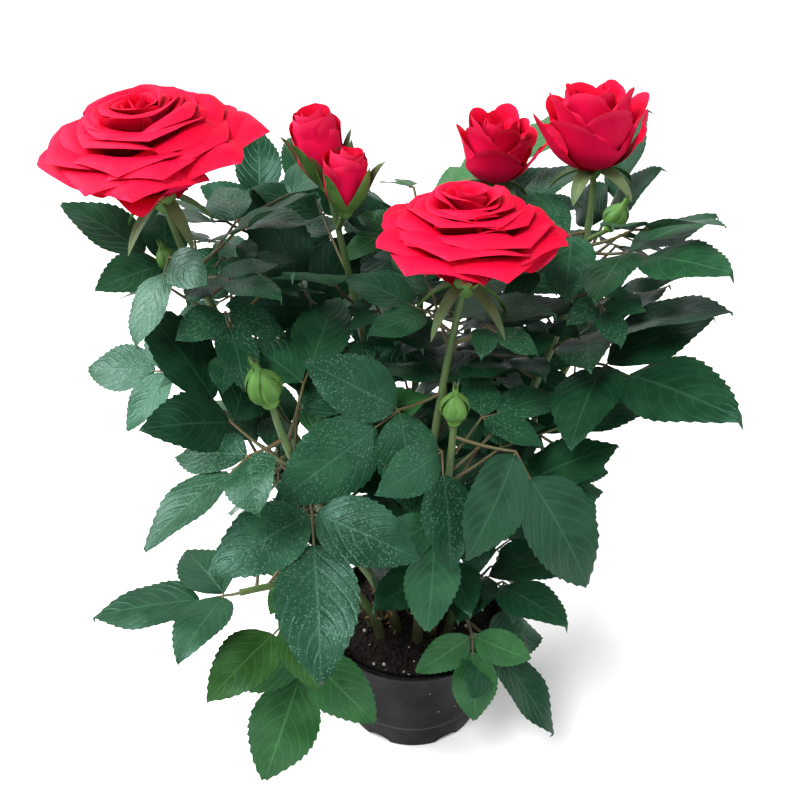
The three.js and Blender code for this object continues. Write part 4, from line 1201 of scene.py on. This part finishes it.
BUD_KEYS = (
    (0.0, ((2, 1), (12, 4), (11, 18), (8.4, 27)), 17, 9.5, 1.2, 0.5),
    (0.5, ((2, 2), (10, 5), (9.5, 20), (7, 30)), 14, 8, 0.9, 0.3),
    (1.0, ((1, 3), (5, 6), (5, 20), (3.4, 31)), 7, 3.6, 0.3, 0.1),
)
print(len(OPEN_KEYS) + len(HALF_KEYS) + len(BUD_KEYS), "key petals")

# %% The blooms and their kinds
# Each bloom: kind, half width, compass and rise of its axis.
BLOOMS = {
    "left_tall": ("open", 41, 330, 80),
    "front": ("open", 38, 20, 88),
    "right_tall": ("half", 18.8, 300, 84),
    "back_right": ("half", 16, 30, 86),
    "back_left": ("red_bud", 10, 270, 80),
    "left_bud": ("green_bud", 6.75, 300, 74),
    "middle_bud": ("green_bud", 5.5, 0, 86),
}
# Each kind: its key petals, the half width they are drawn for, its petals, and their tips.
KINDS = {
    "open": (OPEN_KEYS, OPEN_HALF, 44, POINTED_TIP),
    "half": (HALF_KEYS, HALF_HALF, 17, ROUND_TIP),
    "red_bud": (BUD_KEYS, BUD_HALF, 9, FURLED_TIP),
}
# Petals that hang or flare out of line: compass, four midline points, half width, wrap, roll.
LOOSE_PETALS = {
    "left_tall": (
        (2, ((3, 3), (14, 6), (26, 20), (34, 13)), 21, 30, -2.0),
    ),
    "right_tall": (
        (78, ((3, 1), (21, 4), (21, 18), (24, 26)), 8, 20, -1.5),
        (285, ((3, 1), (21, 4), (22, 18), (26, 30)), 13, 20, 3.0),
    ),
    "back_right": ((72, ((3, 1), (20, 4), (22, 18), (28, 28)), 10, 20, 2.0),),
}
print(len(BLOOMS), "blooms of", len(KINDS), "kinds, and green buds")

# %% Petals of one bloom
LOOSE_RUFFLE = 2.4
LINE_STRAY = 0.04
TIP_STRAY = 1.6
SIZE_STRAY = 0.1
TURN_STRAY = 6
# How much less a petal's corners fall back at the heart, how much rounder, and how much blunter.
HEART_FALL, HEART_POWER, HEART_POINT = 0.5, 1.4, 0.7


def key_petal(keys, step):
    """The petal at a step inwards, between its two key petals."""
    steps = [key[0] for key in keys]
    flat = [np.concatenate((np.ravel(key[1]), key[2:])) for key in keys]
    row = [np.interp(step, steps, column) for column in np.transpose(flat)]
    return np.reshape(row[:8], (4, 2)), *row[8:]


def inner_tip(tip, step):
    """A petal's tip grows rounder and shorter towards the heart."""
    fall, power, point, *others = tip
    fall *= 1 - HEART_FALL * step
    point *= 1 - HEART_POINT * step
    return fall, power + HEART_POWER * step, point, *others


def add_bloom(sheets, name, kind, half, foot, placing):
    keys, drawn_half, count, tip = KINDS[kind]
    scale = half / drawn_half
    turn = petal_dice.roll() * 360
    for step in np.linspace(0, 1, count):
        corners, width, wrap, roll, ruffle = key_petal(keys, step)
        corners = corners * (1 + LINE_STRAY * swing(), 1 + LINE_STRAY * swing())
        corners[-1] += (TIP_STRAY * swing(), TIP_STRAY * swing())
        width *= 1 + SIZE_STRAY * swing()
        grid, grain = petal_grid(corners, width, wrap, roll, ruffle, inner_tip(tip, step))
        grid = turn_grid(grid, turn + TURN_STRAY * swing()) * scale
        sheets.add(grid, grain, PETAL_THICKNESS, placing, foot)
        turn += GOLDEN_TURN
    for compass, corners, width, wrap, roll in LOOSE_PETALS.get(name, ()):
        grid, grain = petal_grid(corners, width, wrap, roll, LOOSE_RUFFLE, ROUND_TIP)
        grid = turn_grid(grid, compass - 90) * scale
        sheets.add(grid, grain, PETAL_THICKNESS, placing, foot)


print("petals of each kind:", {kind: row[2] for kind, row in KINDS.items()})

# %% Build the petals
BLOOM_LIFT = {"left_tall": 2.0}
# The twin bud: kind, half width, compass and rise of its axis; its stalk: compass, rise, length.
TWIN = ("red_bud", 8.5, 20, 80)
TWIN_STALK = (18, 46, 18)
TWIN_JOINT = route_point("back_left", (1 + SHOOTS["back_left"][3]) / 2)
TWIN_FOOT = TWIN_JOINT + direction(*TWIN_STALK[:2]) * TWIN_STALK[2]
# Each side bud: shoot, share, half width, compass and rise of its axis, stalk, its compass, rise.
SIDE_BUDS = (
    ("left_tall", 0.82, 4.5, 280, 72, 10, 272, 24),
    ("right_tall", 0.86, 5, 50, 64, 15, 32, 36),
)
TWIN_GIRTHS = (1.3, 1.2)
SIDE_GIRTHS = (1.1, 1.0)
# Each flower: name, kind, half width, the three ways of its frame, and its foot.
flowers = []
side_stalks = [([TWIN_JOINT, TWIN_FOOT], TWIN_GIRTHS)]
for name, (kind, half, compass, rise) in BLOOMS.items():
    tip = route_point(name, 1)
    foot = tip + direction(compass, rise) * BLOOM_LIFT.get(name, 0)
    flowers.append((name, kind, half, axis_frame(compass, rise), foot))
    if name in BLOOM_LIFT:
        side_stalks.append(([tip, foot], [NECK_TIP_RADIUS] * 2))
flowers.append(("twin", *TWIN[:2], axis_frame(*TWIN[2:]), TWIN_FOOT))
for name, at, half, compass, rise, stalk, stalk_compass, stalk_rise in SIDE_BUDS:
    joint = route_point(name, at)
    foot = joint + direction(stalk_compass, stalk_rise) * stalk
    flowers.append((f"side_{name}", "green_bud", half, axis_frame(compass, rise), foot))
    side_stalks.append(([joint, foot], SIDE_GIRTHS))
BLOOM_NODES = [f"bloom_{name}" for name in BLOOMS]
petals = Sheets()
for name, kind, half, placing, foot in flowers:
    if kind in KINDS:
        add_bloom(petals, name, kind, half, foot, placing)
keep(petals.build("petals", PETAL_FACE, PETAL_BACK), "petal", *BLOOM_NODES)

# %% [markdown]
# Sepals, hips and green buds. Under each flower sits a small green hip with five pointed sepals:
# bent down under an open bloom, spread under a half-open one, and clasping a bud. A closed bud
# is nothing but five sepals pressed together, with their tips pinched at the top.

# %% Sepals
SEPAL_ROWS = 9
SEPAL_COLUMNS = 5
SEPAL_THICKNESS = 0.5
SEPAL_CUP = 0.45
SEPAL_TAPER = 0.8
SEPAL_FOOT = 0.75
SEPAL_SWELL = 0.9
TIP_REACH = 0.12
SEPAL_COUNT = 5
FIRST_SEPAL = 20
BUD_SEAT = 0.6
# Each kind: length, half width, start radius, slope of the foot and of the tip in degrees.
SEPAL_SHAPES = {
    "open": (24, 3.5, 3, -25, -62),
    "half": (19, 4.6, 3, -12, -62),
    "red_bud": (25, 4.8, 3.4, 48, 88),
}
# How much the slope at each kind's tips strays, in degrees, and the foot's share of it.
SEPAL_STRAY = {"open": 14, "half": 14, "red_bud": 3}
FOOT_STRAY = 0.4
TIP_CURL = 40
# The sepals of a green bud lie on it: slope at each of its stations, foot to tip.
CLASP_SLOPES = (52, 68, 98, 118, 134, 138, 92, 84, 84)
CLASP_LENGTH = 3.3
CLASP_WIDTH = 0.62
CLASP_START = 0.64


def sepal_grid(length, width, start, slopes):
    """A pointed plate that leaves the hip and follows the given slopes from foot to tip."""
    aside, share = np.meshgrid(np.linspace(-1, 1, SEPAL_COLUMNS), np.linspace(0, 1, SEPAL_ROWS))
    slope = np.radians(np.asarray(slopes, float))[:, None]
    steps = length / (SEPAL_ROWS - 1) * np.concatenate((np.cos(slope), np.sin(slope)), axis=1)
    out, up = (np.cumsum(steps, axis=0) - steps).T[:, :, None]
    reach = width * (1 - share) ** SEPAL_TAPER * (SEPAL_FOOT + SEPAL_SWELL * share)
    cup = reach * SEPAL_CUP * aside**2
    out = start + out - cup * np.sin(slope)
    grid = np.stack((out, aside * np.maximum(reach, TIP_REACH), up + cup * np.cos(slope)), axis=-1)
    return grid, np.stack((aside, share, 0 * share), axis=-1)


print(SEPAL_COUNT, "sepals under each flower")

# %% Build the sepals
sepals = Sheets()
for _, kind, half, placing, foot in flowers:
    lift = 0.0
    for number in range(SEPAL_COUNT):
        if kind == "green_bud":
            length, width, start = half * CLASP_LENGTH, half * CLASP_WIDTH, half * CLASP_START
            slopes = CLASP_SLOPES
            lift = half * BUD_SEAT
        else:
            length, width, start, first_slope, last_slope = SEPAL_SHAPES[kind]
            bend = SEPAL_STRAY[kind] * swing()
            slopes = np.linspace(first_slope + bend * FOOT_STRAY, last_slope + bend, SEPAL_ROWS)
            if kind == "red_bud":
                slopes = slopes - TIP_CURL * (1 + swing()) * np.linspace(0, 1, SEPAL_ROWS) ** 4
        length *= 1 + SIZE_STRAY * swing()
        grid, grain = sepal_grid(length, width, start, slopes)
        grid[..., 2] += lift
        turn = 360 * number / SEPAL_COUNT + FIRST_SEPAL
        grid = turn_grid(grid, turn + TURN_STRAY * swing())
        sepals.add(grid, grain, SEPAL_THICKNESS, placing, foot)
keep(sepals.build("sepals", SEPAL_FINISH, CALYX_FINISH), "petal", *BLOOM_NODES)

# %% Hips and green buds
LATHE_SIDES = 30
HIP_PROFILE = ((0, -4), (1.6, -3.6), (2.7, -2), (3.5, 0.4), (3.4, 2), (2, 3.2), (0, 3.6))
BUD_PROFILE = (
    (0, 0), (0.42, 0.08), (0.56, 0.28), (0.5, 0.5), (0.68, 0.72), (0.9, 1.0), (1, 1.35),
    (0.93, 1.75), (0.72, 2.15), (0.45, 2.5), (0.2, 2.78), (0, 2.92),
)
BUD_RIBS = 0.03
BUD_INSET = 0.9
HIP_SCALE = {"open": 1.5, "half": 1.1, "red_bud": 1.0}
hips, buds = Gathered(), Gathered()
for _, kind, half, placing, foot in flowers:
    if kind == "green_bud":
        points, faces = turned(BUD_PROFILE, LATHE_SIDES, BUD_RIBS)
        buds.add(np.array(points) * half * BUD_INSET @ placing + foot, faces)
    else:
        points, faces = turned(HIP_PROFILE, LATHE_SIDES)
        hips.add(np.array(points) * HIP_SCALE[kind] @ placing + foot, faces)
keep(hips.build("hips", CALYX_FINISH), "petal", *BLOOM_NODES)
keep(buds.build("green_buds", BUD_FINISH), "green_bud", *BLOOM_NODES)
neck_lines += side_stalks
necks = grow_limbs("bloom_stalks", neck_lines, sides=12, relief=0.12, skin=STEM_FINISH)
keep(necks, "foliage", *BLOOM_NODES)

# %% [markdown]
# The pot. A thin-walled nursery pot is blown or injection moulded: a plain tapering wall, a
# step above its foot, and six arched notches in the foot that let water out. It is turned from
# its profile, with more sides than the solid and soft corners, and a Boolean cuts the notches
# out of its foot, which leaves their edges crisp.

# %% Sizes of the pot
POT_HEIGHT = 59
RIM_RADIUS = 45
RIM_WALL = 2.6
LEDGE_HEIGHT = 15
LEDGE_RADIUS = 36.5
LEDGE_STEP = 1.2
FOOT_RADIUS = 33.5
BASE_THICKNESS = 5
BASE_RADIUS = 30.9
BAND_FOOT = 55
POT_SIDES = 144
NOTCH_COUNT = 6
NOTCH_RADIUS = 6
NOTCH_HEIGHT = 3.2
NOTCH_DEPTH = 3
NOTCH_SIDES = 24
LEDGE_LOW = LEDGE_HEIGHT - LEDGE_STEP
# Each step of the wall, out and up, from the middle of the underside to the middle inside.
POT_PROFILE = (
    (0, 0), (FOOT_RADIUS - 0.5, 0), (FOOT_RADIUS, 0.5),
    (LEDGE_RADIUS - LEDGE_STEP - 0.1, LEDGE_LOW - 0.3), (LEDGE_RADIUS - 0.3, LEDGE_HEIGHT - 0.5),
    (LEDGE_RADIUS, LEDGE_HEIGHT), (LEDGE_RADIUS + 0.35, LEDGE_HEIGHT + 1.2),
    (RIM_RADIUS - 0.8, BAND_FOOT), (RIM_RADIUS - 0.4, BAND_FOOT + 1),
    (RIM_RADIUS - 0.05, BAND_FOOT + 1.6), (RIM_RADIUS - 0.05, POT_HEIGHT - 0.6),
    (RIM_RADIUS - 0.6, POT_HEIGHT), (RIM_RADIUS - RIM_WALL + 0.6, POT_HEIGHT),
    (RIM_RADIUS - RIM_WALL, POT_HEIGHT - 0.5), (BASE_RADIUS, BASE_THICKNESS), (0, BASE_THICKNESS),
)
print("the pot is", 2 * RIM_RADIUS, "mm wide and", POT_HEIGHT, "mm high")

# %% Finish of the pot
POT_BLACKS = ((0.001, 0.001, 0.0011), (0.003, 0.003, 0.0032))
SPLASH_TONE = (0.42, 0.42, 0.4)
LEDGE_TONE = (0.09, 0.09, 0.09)


def pot_finish():
    made = Finish("pot_plastic", 0.5, Specular_IOR_Level=0.08)
    grime = made.noise(38.0, 5.0, 0.62)
    skin = made.mix(made.band(grime, 0.42, 0.75), *POT_BLACKS)
    few = made.band(made.noise(33.0, 1.0), 0.63, 0.68)
    skin = made.over(skin, made.dots(210.0, 0.05, 0.09), few, SPLASH_TONE)
    height = made.parts(made.place())["Z"]
    away = made.math("ABSOLUTE", made.math("SUBTRACT", height, LEDGE_HEIGHT * MM))
    skin = made.over(skin, made.band(away, 0.0004, 0.0011, 1.0, 0.0), 0.35, LEDGE_TONE)
    worn = made.band(grime, 0.35, 0.75, 0.42, 0.66)
    return made.close(skin, made.noise(850.0), 0.25, 0.0003, worn)


# %% Pot with notches
angles = 2 * math.pi * np.arange(NOTCH_SIDES) / NOTCH_SIDES
arch = np.stack((0 * angles, NOTCH_RADIUS * np.cos(angles), NOTCH_HEIGHT * np.sin(angles)), axis=1)
depth = np.array((NOTCH_DEPTH, 0, 0))
notch = np.concatenate((arch - depth, arch + depth)) + (FOOT_RADIUS, 0, 0)
near, far = range(NOTCH_SIDES), range(NOTCH_SIDES, 2 * NOTCH_SIDES)
notch_faces = [near[::-1], far]
for side in near:
    after = (side + 1) % NOTCH_SIDES
    notch_faces.append((side, after, far[after], far[side]))
cutters = Gathered()
for number in range(NOTCH_COUNT):
    cutters.add(turn_grid(notch, 360 * number / NOTCH_COUNT), notch_faces)
pot = mesh_object("pot_body", *turned(POT_PROFILE, POT_SIDES))
pot.data.materials.append(pot_finish())
notches = cutters.build("notches", pot.data.materials[0])
cut = pot.modifiers.new("cut", "BOOLEAN")
cut.operation = "DIFFERENCE"
cut.solver = "EXACT"
cut.object = notches
keep_result(pot)
bpy.data.objects.remove(notches)
shade_smooth(pot.data)
keep(pot, "pot_plastic", "pot")

# %% [markdown]
# Soil. Dark crumbly compost with white perlite grains. The surface is a shallow lumpy disc, and
# Geometry Nodes strew crumbs and perlite over it as small uneven balls. Only what lies inside
# the rim is made, as the rest can not be seen.

# %% Soil finishes
def grain_finish(name, base, other, roughness, scale):
    made = Finish(name, roughness, Specular_IOR_Level=0.25)
    lumps = made.noise(scale, 5.0, 0.65)
    return made.close(made.mix(made.band(lumps, 0.35, 0.7), base, other), lumps, 0.9, 0.0012)


SOIL_FINISH = grain_finish("soil_dark", (0.006, 0.0048, 0.004), (0.022, 0.016, 0.012), 0.92, 320.0)
CRUMB_FINISH = grain_finish("soil_crumb", (0.008, 0.006, 0.005), (0.04, 0.028, 0.019), 0.9, 500.0)
PERLITE_FINISH = grain_finish("perlite", (0.62, 0.6, 0.56), (0.82, 0.81, 0.78), 0.8, 700.0)
print("soil, crumb and perlite finishes")

# %% Soil surface
SOIL_RINGS = 26
SOIL_SIDES = 72
SOIL_EDGE = 41.0
SOIL_DEPTH = 6
SOIL_DIP = 0.4
LUMP_HEIGHT = 0.4
FALL = 1.4
FALL_START = 22
WALL_LEAN = 1.2
turns = 2 * math.pi * np.arange(SOIL_SIDES) / SOIL_SIDES
radii = [*(SOIL_EDGE * np.arange(1, SOIL_RINGS + 1) / SOIL_RINGS), SOIL_EDGE - WALL_LEAN]
x, y = np.outer(radii, np.cos(turns)).ravel(), np.outer(radii, np.sin(turns)).ravel()
# Waves of uneven length that cross each other leave lumps that never line up.
lumps = np.sin(0.55 * x + 1.3) * np.sin(0.5 * y) + 0.6 * np.sin(1.1 * x - 0.9 * y)
fall = FALL * np.maximum(0, (np.hypot(x, y) - FALL_START) / (SOIL_EDGE - FALL_START)) ** 2
heights = SOIL_HEIGHT - SOIL_DIP - fall + LUMP_HEIGHT * lumps
heights[-SOIL_SIDES:] = SOIL_HEIGHT - SOIL_DEPTH
soil_points = [*zip(x, y, heights)]
top, bottom = len(soil_points), len(soil_points) + 1
soil_points += [(0, 0, SOIL_HEIGHT - SOIL_DIP), (0, 0, SOIL_HEIGHT - SOIL_DEPTH)]
last = SOIL_RINGS * SOIL_SIDES
soil_faces = []
for side in range(SOIL_SIDES):
    after = (side + 1) % SOIL_SIDES
    soil_faces.append((top, side, after))
    for near in range(0, last, SOIL_SIDES):
        far = near + SOIL_SIDES
        soil_faces.append((near + side, far + side, far + after, near + after))
    soil_faces.append((bottom, last + after, last + side))
soil = Gathered()
soil.add(soil_points, soil_faces)
keep(soil.build("soil_bed", SOIL_FINISH), "soil", "soil")

# %% Strewing tree
SPIN = 6.28
PUFF = 1.5
strew_tree = NodeTree(
    "strew", Density="Float", Seed="Int", Smallest="Float", Largest="Float", Skin="Material",
)
ball = strew_tree.add("GeometryNodeMeshIcoSphere", {"Radius": 1.0, "Subdivisions": 2})
lump = strew_tree.add("ShaderNodeTexNoise", {"Scale": 1.6, "Detail": 1.0}, "Fac")
sizes = strew_tree.add("FunctionNodeRandomValue", {
    "Min": strew_tree.start["Smallest"], "Max": strew_tree.start["Largest"],
}, 1, data_type="FLOAT")
spins = strew_tree.add("FunctionNodeRandomValue", {
    0: (0.0, 0.0, 0.0), 1: (SPIN, SPIN, SPIN),
}, data_type="FLOAT_VECTOR")
spins = strew_tree.add("FunctionNodeEulerToRotation", {"Euler": spins})
spots = strew_tree.scatter()["Points"]
uneven = strew_tree.push(ball, lump)
grains = strew_tree.strew(spots, uneven, {"Rotation": spins, "Scale": sizes})
strew_tree.close(strew_tree.dress(grains, "Skin"))
print("strewing tree of", len(strew_tree.tree.nodes), "nodes")

# %% Crumbs and perlite
bed_faces = [face for face in soil_faces if max(face) < last - SOIL_SIDES]
# Each kind of grain: density per square metre, seed, smallest and largest radius, finish.
GRAINS = {
    "crumbs": (190000.0, 3, 0.45, 1.1, CRUMB_FINISH),
    "perlite": (9000.0, 5, 0.4, 1.0, PERLITE_FINISH),
}
for name, (density, seed, smallest, largest, finish) in GRAINS.items():
    grains = mesh_object(name, soil_points[:last], bed_faces)
    strew_tree.apply(grains, {
        "Density": density, "Seed": seed, "Smallest": smallest * MM / PUFF,
        "Largest": largest * MM / PUFF, "Skin": finish,
    })
    keep(grains, "soil", "soil")

# %% [markdown]
# The studio. A pale floor under a dim white sky, as in a catalogue picture. A wide sun from the
# upper left front is the key light, as it lights the whole floor alike, and three large panels
# add sheen. The camera stands in front of the plant and looks down at it by 31 degrees, which is
# the angle that the pot's rim shows.

# %% Floor and lights
FLOOR_HALF = 6000
FLOOR_TONES = ((0.86, 0.86, 0.86), (0.88, 0.88, 0.88))
SKY_STRENGTH = 0.4
SUN_TURN = (36, 0, -32)
SUN_STRENGTH = 3.2
SUN_WIDTH = 22
# Each panel: place, point that it looks at, width, power in watts.
PANELS = {
    "fill": ((800, -500, 700), (0, 0, 180), 700, 5.0),
    "rim": ((-200, 900, 800), (0, 0, 200), 700, 2.0),
    "window": ((-900, 100, 900), (0, 0, 180), 700, 26.0),
}
floor_finish = Finish("floor_matt", 0.9, Specular_IOR_Level=0.1)
floor_skin = floor_finish.mix(floor_finish.noise(2.0, 2.0), *FLOOR_TONES)
floor_finish.put(floor_finish.shader["Base Color"], floor_skin)
corners = [(x * FLOOR_HALF, y * FLOOR_HALF, 0) for x, y in ((-1, -1), (1, -1), (1, 1), (-1, 1))]
floor = mesh_object("floor", corners, [(0, 1, 2, 3)])
floor.data.materials.append(floor_finish.material)

world = bpy.data.worlds.new("studio")
world.use_nodes = True
sky = world.node_tree.nodes["Background"]
sky.inputs["Color"].default_value = tone(1.0, 1.0, 1.0)
sky.inputs["Strength"].default_value = SKY_STRENGTH
bpy.context.scene.world = world

sun = bpy.data.lights.new("key", "SUN")
sun.energy = SUN_STRENGTH
sun.angle = math.radians(SUN_WIDTH)
link_object("key", sun).rotation_euler = [math.radians(angle) for angle in SUN_TURN]
for name, (place, target, width, power) in PANELS.items():
    lamp = bpy.data.lights.new(name, "AREA")
    lamp.energy = power
    lamp.size = width * MM
    lit = link_object(name, lamp)
    lit.location = Vector(place) * MM
    lit.rotation_euler = (Vector(target) - Vector(place)).to_track_quat("-Z", "Y").to_euler()
print("a sun and", len(PANELS), "panels")

# %% Camera
CAMERA_PLACE = (-6.4, -370.7, 403)
CAMERA_PITCH = 31
LENS = 45
SENSOR_WIDTH = 36
camera_data = bpy.data.cameras.new("camera")
camera_data.lens = LENS
camera_data.sensor_width = SENSOR_WIDTH
camera = link_object("camera", camera_data)
camera.location = Vector(CAMERA_PLACE) * MM
camera.rotation_euler = (math.radians(90 - CAMERA_PITCH), 0, 0)
bpy.context.scene.camera = camera
bpy.context.scene.view_settings.view_transform = "Standard"
print("camera at", [round(c, 3) for c in camera.location])

# %% [markdown]
# Hand the pieces over. Every piece rides the one body and hides the solids that it stands for by
# name, so that the plain solids step back.

# %% Ride and replace
for made, slot, nodes in pieces:
    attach(made, "root")
    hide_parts(*nodes)
